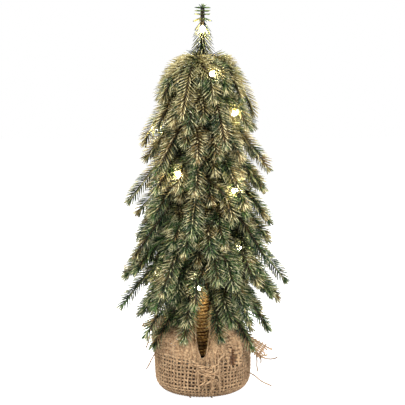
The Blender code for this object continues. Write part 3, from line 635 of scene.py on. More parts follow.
@dataclass(frozen=True)
class BurlapFinish:
    """Jute threads with twisted fibres."""

    dark: Colour = (0.200, 0.105, 0.045)
    light: Colour = (0.500, 0.308, 0.160)
    straw: Colour = (0.800, 0.548, 0.312)

    def build(self) -> bpy.types.Material:
        """Makes the material, which reads each thread's tone, around and along values."""
        material, tools, shader = new_material(
            "jute_threads", Roughness=0.92, Specular_IOR_Level=0.2, Sheen_Weight=0.08, Sheen_Roughness=0.6
        )
        fibre = add_fibre(tools, twist=320.0, strands=3.0)
        threads = tools.mix(tools.attribute("tone"), self.dark, self.light)
        fibres = tools.mix(tools.ramp(fibre.outputs["Fibres"], 0.35, 0.75), threads, self.straw)
        # Painted shade: threads are darkened, and made warmer, in the side fold's mouth (negative tone).
        # They are also darkened in the low grooves between the fibre strands.
        fold_painted_shade = tools.ramp(tools.attribute("tone"), -1.2, 0.0, 0.26, 1.0)
        shade = tools.math("MULTIPLY", tools.ramp(fibre.outputs["Height"], 0.1, 1.3, 0.48, 1.0), fold_painted_shade)
        green = tools.math("MULTIPLY", shade, tools.math("POWER", fold_painted_shade, 0.30))
        blue = tools.math("MULTIPLY", shade, tools.math("POWER", fold_painted_shade, 0.55))
        warm_shade = tools.add("CombineColor", Red=shade, Green=green, Blue=blue).outputs[0]
        tools.feed(shader, "Base Color", tools.mix(1.0, fibres, warm_shade, "MULTIPLY"))
        add_bump(tools, shader, fibre.outputs["Height"], 0.00022)
        return material


@dataclass(frozen=True)
class CoirFinish:
    """The trunk's coarse brown cord."""

    dark: Colour = (0.110, 0.050, 0.018)
    mid: Colour = (0.600, 0.350, 0.150)
    light: Colour = (0.930, 0.690, 0.390)

    def build(self) -> bpy.types.Material:
        """Makes the material, which reads the cord's tone, around and along values."""
        material, tools, shader = new_material("coir_cord", Roughness=0.9, Specular_IOR_Level=0.25)
        fibre = add_fibre(tools, twist=180.0, strands=2.0)
        # Painted shade: the cord is darker in the grooves between its twisted strands.
        base = tools.mix(tools.ramp(fibre.outputs["Height"], -0.2, 1.0), self.dark, self.mid)
        patchy = tools.mix(tools.ramp(fibre.outputs["Fibres"], 0.45, 0.8), base, self.light)
        # Painted shade: the core's tone of 0 paints it nearly black, for the shade in the gaps between the
        # turns.
        core_painted_shade = tools.ramp(tools.attribute("tone"), 0.0, 0.5, 0.08, 1.0)
        shade = tools.add("CombineColor", Red=core_painted_shade, Green=core_painted_shade, Blue=core_painted_shade).outputs[0]
        tools.feed(shader, "Base Color", tools.mix(1.0, patchy, shade, "MULTIPLY"))
        add_bump(tools, shader, fibre.outputs["Height"], 0.0004)
        return material


@dataclass(frozen=True)
class PlasticFinish:
    """Moulded plastic with grain, scuffs and dust."""

    name: str
    colour: Colour
    worn: Colour
    roughness: float = 0.5
    grain: float = 0.00006
    wear: float = 0.5

    def build(self) -> bpy.types.Material:
        """Makes the material."""
        material, tools, shader = new_material(self.name, Specular_IOR_Level=0.45)
        place = tools.place()
        grain = EFFECTS.place(tools, Effect.GRAIN, Place=place, Scale=1500.0, Mottle_Scale=110.0)
        wear = EFFECTS.place(tools, Effect.WEAR, Place=place, Scale=160.0, Amount=self.wear)
        tools.feed(shader, "Base Color", tools.mix(wear.outputs["Mask"], self.colour, self.worn))
        low, high = self.roughness - 0.08, self.roughness + 0.16
        tools.feed(shader, "Roughness", tools.ramp(grain.outputs["Mottle"], 0.3, 0.7, low, high))
        add_bump(tools, shader, grain.outputs["Height"], self.grain)
        return material


@dataclass(frozen=True)
class CementFinish:
    """Cast weight with sand, pits and stains."""

    pale: Colour = (0.500, 0.480, 0.440)
    stain: Colour = (0.300, 0.270, 0.230)
    sand: Colour = (0.200, 0.180, 0.150)

    def build(self) -> bpy.types.Material:
        """Makes the material."""
        material, tools, shader = new_material("cast_cement", Roughness=0.93, Specular_IOR_Level=0.25)
        place = tools.place()
        grain = EFFECTS.place(tools, Effect.GRAIN, Place=place, Scale=700.0, Mottle_Scale=80.0)
        sand = EFFECTS.place(tools, Effect.SPECKLE, Place=place, Scale=900.0, Cover=0.2)
        stained = tools.mix(tools.ramp(grain.outputs["Mottle"], 0.35, 0.7), self.pale, self.stain)
        tools.feed(shader, "Base Color", tools.mix(sand.outputs["Flakes"], stained, self.sand))
        add_bump(tools, shader, grain.outputs["Height"], 0.0005)
        return material


@dataclass(frozen=True)
class MetalFinish:
    """Plated or drawn metal with fine scratches and tarnish."""

    name: str
    colour: Colour
    tarnish: Colour
    roughness: float = 0.28

    def build(self) -> bpy.types.Material:
        """Makes the material."""
        material, tools, shader = new_material(self.name, Metallic=1.0)
        place = tools.place()
        grain = EFFECTS.place(tools, Effect.GRAIN, Place=place, Scale=2400.0, Mottle_Scale=140.0)
        wear = EFFECTS.place(tools, Effect.WEAR, Place=place, Scale=240.0, Amount=0.6)
        tools.feed(shader, "Base Color", tools.mix(wear.outputs["Mask"], self.colour, self.tarnish))
        low, high = self.roughness - 0.08, self.roughness + 0.18
        tools.feed(shader, "Roughness", tools.ramp(grain.outputs["Mottle"], 0.3, 0.7, low, high))
        add_bump(tools, shader, grain.outputs["Height"], 0.00002)
        return material


@dataclass(frozen=True)
class CellFinish:
    """A battery's plain printed sleeve: dark, with a copper-coloured end band."""

    name: str
    band_from: float
    band_side: int
    sleeve: Colour = (0.030, 0.032, 0.036)
    band: Colour = (0.620, 0.330, 0.120)

    def build(self) -> bpy.types.Material:
        """Makes the material; the band covers the end past band_from along X."""
        material, tools, shader = new_material(self.name, Roughness=0.3, Coat_Weight=0.4)
        place = tools.place()
        x = tools.add("SeparateXYZ", Vector=place).outputs["X"]
        past = tools.math("GREATER_THAN", tools.math("MULTIPLY", x, float(self.band_side)), self.band_from)
        grain = EFFECTS.place(tools, Effect.GRAIN, Place=place, Scale=600.0, Mottle_Scale=90.0)
        lighter = tuple(2 * c for c in self.sleeve)
        sleeve = tools.mix(tools.ramp(grain.outputs["Mottle"], 0.3, 0.8), self.sleeve, lighter)
        tools.feed(shader, "Base Color", tools.mix(past, sleeve, self.band))
        tools.feed(shader, "Metallic", tools.math("MULTIPLY", past, 0.7))
        return material


@dataclass(frozen=True)
class BeadFinish:
    """A lit micro light: glowing chip in a drop of clear resin."""

    glow: Colour = (1.0, 0.90, 0.36)
    strength: float = 170.0

    def build(self) -> bpy.types.Material:
        """Makes the material, which glows a little unevenly through the resin."""
        material, tools, shader = new_material("glowing_resin", Roughness=0.12, Specular_IOR_Level=0.5)
        place = tools.place()
        swirl = tools.add("TexNoise", Vector=place, Scale=500.0, Detail=2.0)
        glow = tools.mix(tools.ramp(swirl.outputs["Fac"], 0.3, 0.7), self.glow, (1.0, 0.88, 0.58))
        tools.feed(shader, "Base Color", glow)
        tools.feed(shader, "Emission Color", glow)
        tools.feed(shader, "Emission Strength", self.strength)
        return material


# ------------------------------------------------------------------ foliage
NEEDLE_VALUES = ("tone", "share", "stem", "coat_and_shade")


@dataclass
class TwigPlan:
    """Where every twig runs; the numbers are those of the frame's sprays."""

    height: float = 0.400
    leader: float = 0.049
    reach: tuple[float, ...] = (0.044, 0.052, 0.060, 0.066, 0.067, 0.069, 0.081, 0.080, 0.068, 0.061)
    turn: tuple[float, ...] = (8, 52, -12, 64, 22, -34, 3, 63, -22, -30)
    steepness: tuple[float, ...] = (1, 1, 1, 1, 1, 1, 1, 1, 1.1, 1.25)
    slope: float = 0.36
    curve: float = 0.56
    spread: tuple[float, ...] = (1.16, 1.13, 1.09, 1.10, 1.10, 1.08, 1.03, 1.02, 1.02, 0.92)
    arch: tuple[float, ...] = (0.02, 0.12, 0.30, 0.34, 0.34, 0.34, 0.34, 0.34, 0.34, 0.34)
    arch_power: tuple[float, ...] = (2.4, 2.1, 1.8, 1.7, 1.7, 1.7, 1.7, 1.7, 1.7, 1.7)
    twigs: tuple[tuple[float, ...], ...] = (
        (0, 1.00, 0.00, 1.00),
        (-38, 0.86, 0.22, 1.00),
        (38, 0.86, 0.23, 1.00),
        (-19, 0.60, 0.20, 1.12),
        (19, 0.64, 0.21, 1.12),
    )
    filling: tuple[tuple[float, ...], ...] = (
        (-62, 0.74, 0.16, 1.18),
        (60, 0.72, 0.16, 1.20),
        (4, 0.44, 0.14, 1.75),
        (-44, 0.46, 0.14, 1.60),
        (42, 0.50, 0.14, 1.55),
    )
    crown_filling: tuple[tuple[float, ...], ...] = (
        (-21, 0.70, 0.15, 1.16),
        (21, 0.66, 0.15, 1.20),
    )
    skirt_filling: tuple[tuple[float, ...], ...] = (
        (-50, 0.93, 0.25, 0.98),
        (50, 0.92, 0.25, 1.00),
    )
    skirt_tiers: tuple[int, int] = (5, 8)
    open_from_tier: int = 7
    open_half_angle: float = 24
    long_twigs: int = 3
    short_spray: float = 0.055
    turn_jitter: float = 3
    droop_jitter: float = 0.035
    stem_depth: float = 0.0015
    stem_length: float = 0.005
    twig_radius: float = 0.0030
    wrap_foot: float = 0.0075
    wrap_top: float = 0.0046
    weight_top: float = 0.033
    shoulder_z: float = 0.038
    over_shoulder: float = 0.025
    pot_offset: float = 0.0018
    sprays_per_tier: int = 3

    def __post_init__(self) -> None:
        """Spaces the tiers so that the lowest sprays just clear the bag's shoulder."""
        self.top_tier = self.height - self.leader - self.wrap_top / 2
        self.tier_step = 0.0
        last = len(self.reach) - 1
        base_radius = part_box("base_pot")[1][0] + self.pot_offset
        low = self.shoulder_z + self.over_shoulder + self.fall(last, base_radius, 1.0)
        self.tier_step = (self.top_tier - low) / last

    def tier_height(self, tier: float) -> float:
        """The height at which a tier's stems leave the trunk."""
        return self.top_tier - self.tier_step * tier

    def wrap_radius(self, height: float) -> float:
        """Outer radius of the trunk's wrap at a height."""
        share = (height - self.weight_top) / (self.height - self.leader - self.weight_top)
        return self.wrap_foot + (self.wrap_top - self.wrap_foot) * min(max(share, 0.0), 1.0)

    def fall(self, tier: int, reach: Array | float, steeper: Array | float) -> Array | float:
        """How far a frame's twig has fallen at a distance from the axis."""
        full = self.reach[tier]
        return steeper * self.steepness[tier] * (self.slope * reach + self.curve * reach**2 / full)

    def arched_fall(self, tier: int, reach: Array, steeper: Array | float) -> Array:
        """The fall of a needle-covered twig, which sets out flatter and ends as low."""
        full = self.reach[tier]
        share = np.clip(reach / full, 0.0, None)
        arch = self.arch[tier]
        drop = arch * share + (self.slope + self.curve - arch) * share ** self.arch_power[tier]
        return steeper * self.steepness[tier] * full * drop

    def sprays(self) -> list[tuple[str, int, float, list[tuple[float, ...]]]]:
        """Each spray's name, tier, direction and twigs, as the frame has them."""
        chance = random.Random(7)
        found = []
        for tier, full in enumerate(self.reach):
            for place in range(self.sprays_per_tier):
                turn = self.turn[tier] + 360 / self.sprays_per_tier * place
                twigs = []
                for number, (fan, share, start, steeper) in enumerate(self.twigs):
                    fan += chance.uniform(-self.turn_jitter, self.turn_jitter) if number else 0
                    steeper *= 1 + chance.uniform(-self.droop_jitter, self.droop_jitter)
                    if number >= self.long_twigs and full < self.short_spray:
                        continue
                    twigs.append((fan, share * full, start * full, steeper))
                filling = self.filling
                if full < self.short_spray:
                    filling += self.crown_filling
                if self.skirt_tiers[0] <= tier <= self.skirt_tiers[1]:
                    filling += self.skirt_filling
                for fan, share, start, steeper in filling:
                    off_front = abs(wrapped(turn + fan + 90))
                    if tier >= self.open_from_tier and off_front < self.open_half_angle:
                        continue
                    twigs.append((fan, share * full, start * full, steeper))
                found.append((f"spray_{tier + 1:02d}{'abc'[place]}", tier, turn, twigs))
        return found

    def line(self, tier: int, turn: float, twig: tuple[float, ...], steps: int = 24) -> Array:
        """Points down the middle of a twig.

        Args:
            tier: The twig's tier, from the top.
            turn: Its spray's direction in degrees.
            twig: Its turn from the spray, reach, start and steepness.
            steps: How many points.

        Returns:
            The points, from its root to its tip.
        """
        fan, reach, start, steeper = twig
        root = self.wrap_radius(self.tier_height(tier)) - self.stem_depth
        if start:
            start = max(start, root + self.stem_depth + self.stem_length + self.twig_radius)
        else:
            start = root
        share = np.linspace(0.0, 1.0, steps)
        reach *= self.spread[tier]
        distance = start + (reach - start) * share
        sag = 1 + (steeper - 1) * smooth_step((distance - root) / (reach - root))
        height = self.tier_height(tier) - self.arched_fall(tier, distance, sag)
        height += self.arched_fall(tier, np.array(root), 1.0)
        return polar(distance, turn + fan * smooth_step(1.35 * share), height)


@dataclass
class Needle:
    """One flat moulded needle, modelled once at unit length along +Z."""

    width: float = 0.00130
    thickness: float = 0.00085
    length: float = 0.0128
    rings: tuple[tuple[float, float], ...] = ((0.0, 0.60), (0.34, 1.0), (0.80, 0.78), (1.0, 0.25))

    def model(self) -> tuple[Array, Array]:
        """Models the needle in edit mode and reads its shape.

        Returns:
            Its vertices, with unit width, thickness and length, and its quads.
        """
        for obj in bpy.context.selected_objects:
            obj.select_set(False)
        bpy.ops.mesh.primitive_cylinder_add(
            vertices=4, radius=0.5, depth=1.0, location=(0, 0, 0.5), end_fill_type="NGON"
        )
        obj = bpy.context.active_object
        bpy.ops.object.transform_apply(location=True, rotation=True, scale=True)
        bpy.ops.object.mode_set(mode="EDIT")
        bpy.ops.mesh.select_mode(type="EDGE")
        bpy.ops.mesh.select_all(action="DESELECT")
        bpy.ops.object.mode_set(mode="OBJECT")
        for edge in obj.data.edges:
            low, high = (obj.data.vertices[i].co.z for i in edge.vertices)
            edge.select = abs(high - low) > 0.5
        bpy.ops.object.mode_set(mode="EDIT")
        bpy.ops.mesh.subdivide(number_cuts=len(self.rings) - 2)
        bpy.ops.mesh.select_mode(type="VERT")
        bpy.ops.object.mode_set(mode="OBJECT")
        spans = len(self.rings) - 1
        for vertex in obj.data.vertices:
            height, width = self.rings[round(vertex.co.z * spans)]
            vertex.co.x *= width
            vertex.co.y *= width
            vertex.co.z = height
        points = np.array([v.co[:] for v in obj.data.vertices])
        quads = np.array([p.vertices[:] for p in obj.data.polygons if len(p.vertices) == 4])
        mesh = obj.data
        bpy.data.objects.remove(obj, do_unlink=True)
        bpy.data.meshes.remove(mesh)
        return points, quads


@dataclass
class Foliage:
    """All the needle-covered sprays and the upright tip."""

    plan: TwigPlan
    needle: Needle = field(default_factory=Needle)
    ring_pitch: float = 0.00165
    flat_ring: tuple[tuple[float, float], ...] = ((0, 1.06), (180, 1.06), (90, 0.85), (-90, 0.85))
    raised_ring: tuple[tuple[float, float], ...] = ((50, 1.0), (130, 1.0), (-42, 0.94), (-138, 0.94))
    swept_angle: float = 53.0
    tip_angle: float = 29.0
    tip_zone: float = 0.0085
    tip_needles: int = 9
    tip_spread: float = 0.40
    bend: float = 0.10
    bead_clearance: float = 0.0034
    trunk_bare_to: float = 0.112
    trunk_pitch: float = 0.0028
    trunk_needle: float = 0.019
    trunk_needles_round: int = 18
    seen_beads: tuple[int, ...] = (1, 5, 6, 8, 9, 10)
    leader_pitch: float = 0.0033
    leader_level: float = 0.0085
    side_bare: float = 0.002
    coat_from: float = 0.22
    coat_over: float = 0.50
    crown_coated: float = 0.55
    stem_radius: float = 0.0011
    stem_tip_radius: float = 0.0006

    def __post_init__(self) -> None:
        """Models the needle that every twig repeats, seeds the draws and finds the beads."""
        self.points, self.quads = self.needle.model()
        self.chance = np.random.default_rng(11)
        centres = [sum(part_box(f"led_{n:02d}"), Vector()) / 2 for n in range(1, 11)]
        self.beads = np.array([c[:] for c in centres])
        level = self.beads * [1.0, 1.0, 0.0]
        aside = np.linalg.norm(level, axis=1) > 0.004
        self.bead_faces = np.where(aside[:, None], unit(level), [0.0, -1.0, 0.0])
        self.bead_open = [number in self.seen_beads for number in range(1, 11)]

    def clear_of_beads(self, root: Array, aim: Array, length: Array) -> Array:
        """Which needles leave the beads and the space in front of them open."""
        keep = np.ones(len(root), dtype=bool)
        for share in (0.25, 0.6, 0.95):
            point = root + aim * (share * length)[:, None]
            for bead, face, is_open in zip(self.beads, self.bead_faces, self.bead_open):
                apart = point - bead
                ahead = np.clip(apart @ face, 0.0, None) * is_open
                keep &= np.linalg.norm(apart - face * ahead[:, None], axis=1) > self.bead_clearance
        return keep

    def build(self, finish: NeedleFinish) -> None:
        """Builds and dresses every spray and the tip.

        Args:
            finish: The needles' finish.
        """
        material = finish.build()
        for name, tier, turn, twigs in self.plan.sprays():
            shape = Shape(values=NEEDLE_VALUES)
            for number, twig in enumerate(twigs):
                line = self.plan.line(tier, turn, twig)
                bare = self.plan.stem_length if number == 0 else self.side_bare
                full = self.plan.reach[tier] * (self.crown_coated if tier == 0 else 1.0)
                self.grow_twig(shape, line, bare, full)
            piece = shape.build(f"{name}_sprig")
            piece.data.materials.append(material)
            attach(piece, TREE_BODY)
            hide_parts(name)
            log.info("%s: %d faces", piece.name, len(piece.data.polygons))
        self.build_leader(material)
        self.build_trunk_needles(material)

    def build_trunk_needles(self, material: bpy.types.Material) -> None:
        """Builds the short hanging needles that hide the trunk between the sprays.

        Args:
            material: The needles' material.
        """
        shape = Shape(values=NEEDLE_VALUES)
        top = self.plan.top_tier
        for number, height in enumerate(np.arange(self.trunk_bare_to, top + 0.002, self.trunk_pitch)):
            count = self.trunk_needles_round
            turn = 2 * np.pi * (np.arange(count) + 0.5 * (number % 2)) / count
            turn += self.chance.uniform(-0.2, 0.2, count)
            out = np.stack([np.cos(turn), np.sin(turn), np.zeros(count)], axis=1)
            root = np.array([0.0, 0.0, height]) + out * (self.plan.wrap_radius(height) - 0.001)
            lean = np.radians(self.chance.uniform(-66, -22, count))
            aim = out * np.cos(lean)[:, None] + np.array([0.0, 0.0, 1.0]) * np.sin(lean)[:, None]
            flat = np.cross(np.array([0.0, 0.0, 1.0]), out)
            length = self.trunk_needle * self.chance.uniform(0.65, 1.1, count)
            # A coat of 0.05 paints these needles almost black, as painted shade round the trunk.
            self.add_needles(shape, root, aim, flat, out, length, 0.05)
        piece = shape.build("trunk_needles")
        piece.data.materials.append(material)
        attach(piece, TREE_BODY)
        log.info("%s: %d faces", piece.name, len(piece.data.polygons))

    def grow_twig(self, shape: Shape, line: Array, bare: float, full: float) -> None:
        """Adds one twig's stem and needles.

        Args:
            shape: The growing mesh.
            line: The points down its middle.
            bare: The length of stem without needles.
            full: How far its tier reaches from the trunk.
        """
        stem, reached = evenly_spaced(line, 0.006)
        share = reached / reached[-1]
        radius = self.stem_radius + (self.stem_tip_radius - self.stem_radius) * share
        shape.add_tube(stem, radius, sides=6, tone=0.4, share=0.0, stem=1.0)
        rings, reached = evenly_spaced(line, self.ring_pitch)
        along = directions_of(rings)
        keep = reached > bare
        rings, along, reached = rings[keep], along[keep], reached[keep]
        places = [
            (ring, turn, size)
            for ring in range(len(rings))
            for turn, size in (self.raised_ring if ring % 2 else self.flat_ring)
        ]
        which = np.array([place[0] for place in places])
        angle = np.radians([place[1] for place in places])
        size = np.array([place[2] for place in places])
        count = len(places)
        centre, forward = rings[which], along[which]
        left = (reached[-1] - reached)[which]
        angle += self.chance.uniform(-0.12, 0.12, count)
        up = across(np.broadcast_to([0.0, 0.0, 1.0], forward.shape), forward)
        side = np.cross(forward, up)
        outward = side * np.cos(angle)[:, None] + up * np.sin(angle)[:, None]
        level = np.abs(np.cos(angle))
        near_tip = 1 - smooth_step(left / self.tip_zone)
        lean = self.swept_angle * (0.88 + 0.18 * level) * (1 - near_tip) + self.tip_angle * near_tip
        lean = np.radians(lean + self.chance.uniform(-3.5, 3.5, count))
        length = self.needle.length * size * (1 - 0.18 * near_tip)
        length *= self.chance.uniform(0.93, 1.05, count)
        aim = forward * np.cos(lean)[:, None] + outward * np.sin(lean)[:, None]
        # The coat thins towards the trunk and on each twig's under side. It sets the bronze spray and also
        # the painted shade of inner and lower needles.
        far = smooth_step((np.hypot(centre[:, 0], centre[:, 1]) / full - self.coat_from) / self.coat_over)
        coat_and_shade = far * (0.72 + 0.45 * np.sin(angle)).clip(0.12, 1.0)
        self.add_needles(shape, centre, aim, np.cross(forward, outward), forward, length, coat_and_shade)
        end = np.repeat(rings[-1:], self.tip_needles, axis=0)
        turn = 2 * np.pi * np.arange(self.tip_needles) / self.tip_needles
        ahead = np.repeat(along[-1:], self.tip_needles, axis=0)
        out = side[-1] * np.cos(turn)[:, None] + up[-1] * np.sin(turn)[:, None]
        aim = unit(ahead + self.tip_spread * out)
        length = np.full(len(end), 0.75 * self.needle.length)
        self.add_needles(shape, end, aim, np.cross(ahead, out), ahead, length)

    def add_needles(
        self,
        shape: Shape,
        root: Array,
        aim: Array,
        flat: Array,
        bend_to: Array,
        length: Array,
        coat_and_shade: Array | float = 1.0,
    ) -> None:
        """Adds copies of the needle.

        Args:
            shape: The growing mesh.
            root: Where each needle starts.
            aim: The unit direction of each.
            flat: The direction that its width lies along.
            bend_to: The direction that its end bends to.
            length: The length of each.
            coat_and_shade: How much of the bronze spray reached each; a low value also darkens the needle as
                painted shade.
        """
        coat_and_shade = np.broadcast_to(coat_and_shade, length.shape)
        keep = self.clear_of_beads(root, aim, length)
        root, aim, flat, bend_to, length, coat_and_shade = (a[keep] for a in (root, aim, flat, bend_to, length, coat_and_shade))
        if not len(root):
            return
        wide = across(flat, aim)
        thick = np.cross(aim, wide)
        x, y, z = self.points.T
        copies = (
            root[:, None]
            + aim[:, None] * (length[:, None] * z)[..., None]
            + wide[:, None] * (self.needle.width * x)[None, :, None]
            + thick[:, None] * (self.needle.thickness * y)[None, :, None]
            + bend_to[:, None] * (self.bend * length[:, None] * z**2)[..., None]
        )
        each = len(self.points)
        quads = self.quads[None] + each * np.arange(len(root))[:, None, None]
        tone = np.repeat(self.chance.uniform(0, 1, len(root)), each)
        values = {"tone": tone, "share": np.tile(z, len(root)), "coat_and_shade": np.repeat(coat_and_shade, each)}
        shape.add(copies.reshape(-1, 3), quads.reshape(-1, 4), **values)

    def build_leader(self, material: bpy.types.Material) -> None:
        """Builds the upright tip: short level needles on top and hanging ones below.

        Args:
            material: The needles' material.
        """
        low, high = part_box("leader_tip")
        shape = Shape(values=NEEDLE_VALUES)
        top = high[2] - 0.0045
        line = np.array([[0.0, 0.0, z] for z in np.linspace(low[2] - 0.002, top, 12)])
        shape.add_tube(line, np.linspace(0.0024, 0.0021, 12), sides=8, tone=0.3, share=0.0, stem=0.2)
        for number, below in enumerate(np.arange(0.0005, top - low[2], self.leader_pitch)):
            hanging = float(smooth_step((below - self.leader_level) / 0.004))
            drop = float(np.clip((below - self.leader_level) / 0.030, 0, 1))
            pitch = np.radians(2.0 * (1 - hanging) - (58.0 - 10.0 * drop) * hanging)
            count = 14 if hanging < 0.5 else 10
            length = (0.0072 + (0.0042 + 0.0050 * drop) * hanging) * self.chance.uniform(0.94, 1.04, count)
            turn = 2 * np.pi * (np.arange(count) + 0.5 * (number % 2)) / count
            turn += self.chance.uniform(-0.12, 0.12, count)
            out = np.stack([np.cos(turn), np.sin(turn), np.zeros(count)], axis=1)
            root = np.array([0.0, 0.0, top - below]) + out * 0.0012
            lean = pitch + self.chance.uniform(-0.06, 0.06, count)
            aim = out * np.cos(lean)[:, None] + np.array([0.0, 0.0, 1.0]) * np.sin(lean)[:, None]
            flat = np.cross(np.array([0.0, 0.0, 1.0]), out)
            coat_and_shade = 0.9 - 0.5 * hanging
            if hanging < 0.5:
                flat = np.repeat([[0.0, 0.0, 1.0]], count, axis=0)
            self.add_needles(shape, root, aim, flat, out * hanging, length, coat_and_shade)
        crown = 7
        turn = 2 * np.pi * np.arange(crown) / crown
        out = np.stack([np.cos(turn), np.sin(turn), np.zeros(crown)], axis=1)
        for spread, reach in ((0.30, 0.0050), (0.95, 0.0058)):
            aim = unit(out * spread + np.array([0.0, 0.0, 1.0]))
            root = np.repeat([[0.0, 0.0, top - 0.0012]], crown, axis=0)
            flat = np.cross(aim, out + [0, 0, 0.1])
            self.add_needles(shape, root, aim, flat, aim * 0, np.full(crown, reach))
        piece = shape.build("leader_sprig")
        piece.data.materials.append(material)
        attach(piece, TREE_BODY)
        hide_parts("leader_tip")
        log.info("%s: %d faces", piece.name, len(piece.data.polygons))


# ------------------------------------------------------------------ trunk
@dataclass
class Trunk:
    """The coarse cord wound round the trunk's rod."""

    plan: TwigPlan
    pitch: float = 0.0036
    cord_radius: float = 0.00165
    steps_per_turn: int = 20

    def build(self, finish: CoirFinish) -> None:
        """Builds the wound cord over its core.

        Args:
            finish: The cord's finish.
        """
        low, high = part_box("trunk_wrap")
        bottom, top = low[2] + self.cord_radius * 0.6, high[2] - self.cord_radius * 0.6
        turns = (top - bottom) / self.pitch
        step = np.arange(int(turns * self.steps_per_turn) + 1)
        angle = 360.0 * step / self.steps_per_turn
        height = bottom + self.pitch * step / self.steps_per_turn
        chance = np.random.default_rng(5)
        knots = np.arange(0, step[-1] + 7, 7)
        wobble = np.interp(step, knots, chance.uniform(-1, 1, len(knots)))
        radius = np.array([self.plan.wrap_radius(z) for z in height]) - self.cord_radius * 0.92
        line = polar(radius + 0.00025 * wobble, angle, height + 0.00030 * np.roll(wobble, 3))
        run = lengths_along(line)
        shape = Shape(values=("tone", "around", "along"))
        shape.add_tube(line, self.cord_radius * (1 + 0.07 * wobble), sides=7, tone=0.5, along=run)
        core = np.array([[0.0, 0.0, z] for z in (low[2], (low[2] + high[2]) / 2, high[2])])
        inner = radius.max(), radius.mean(), radius.min()
        # The core's tone of 0 is painted nearly black by its finish, as shade in the gaps between the turns.
        shape.add_tube(core, np.array(inner), sides=14, tone=0.0, along=0.0)
        piece = shape.build("trunk_cord")
        piece.data.materials.append(finish.build())
        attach(piece, TREE_BODY)
        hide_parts("trunk_wrap")
        log.info("%s: %d faces", piece.name, len(piece.data.polygons))


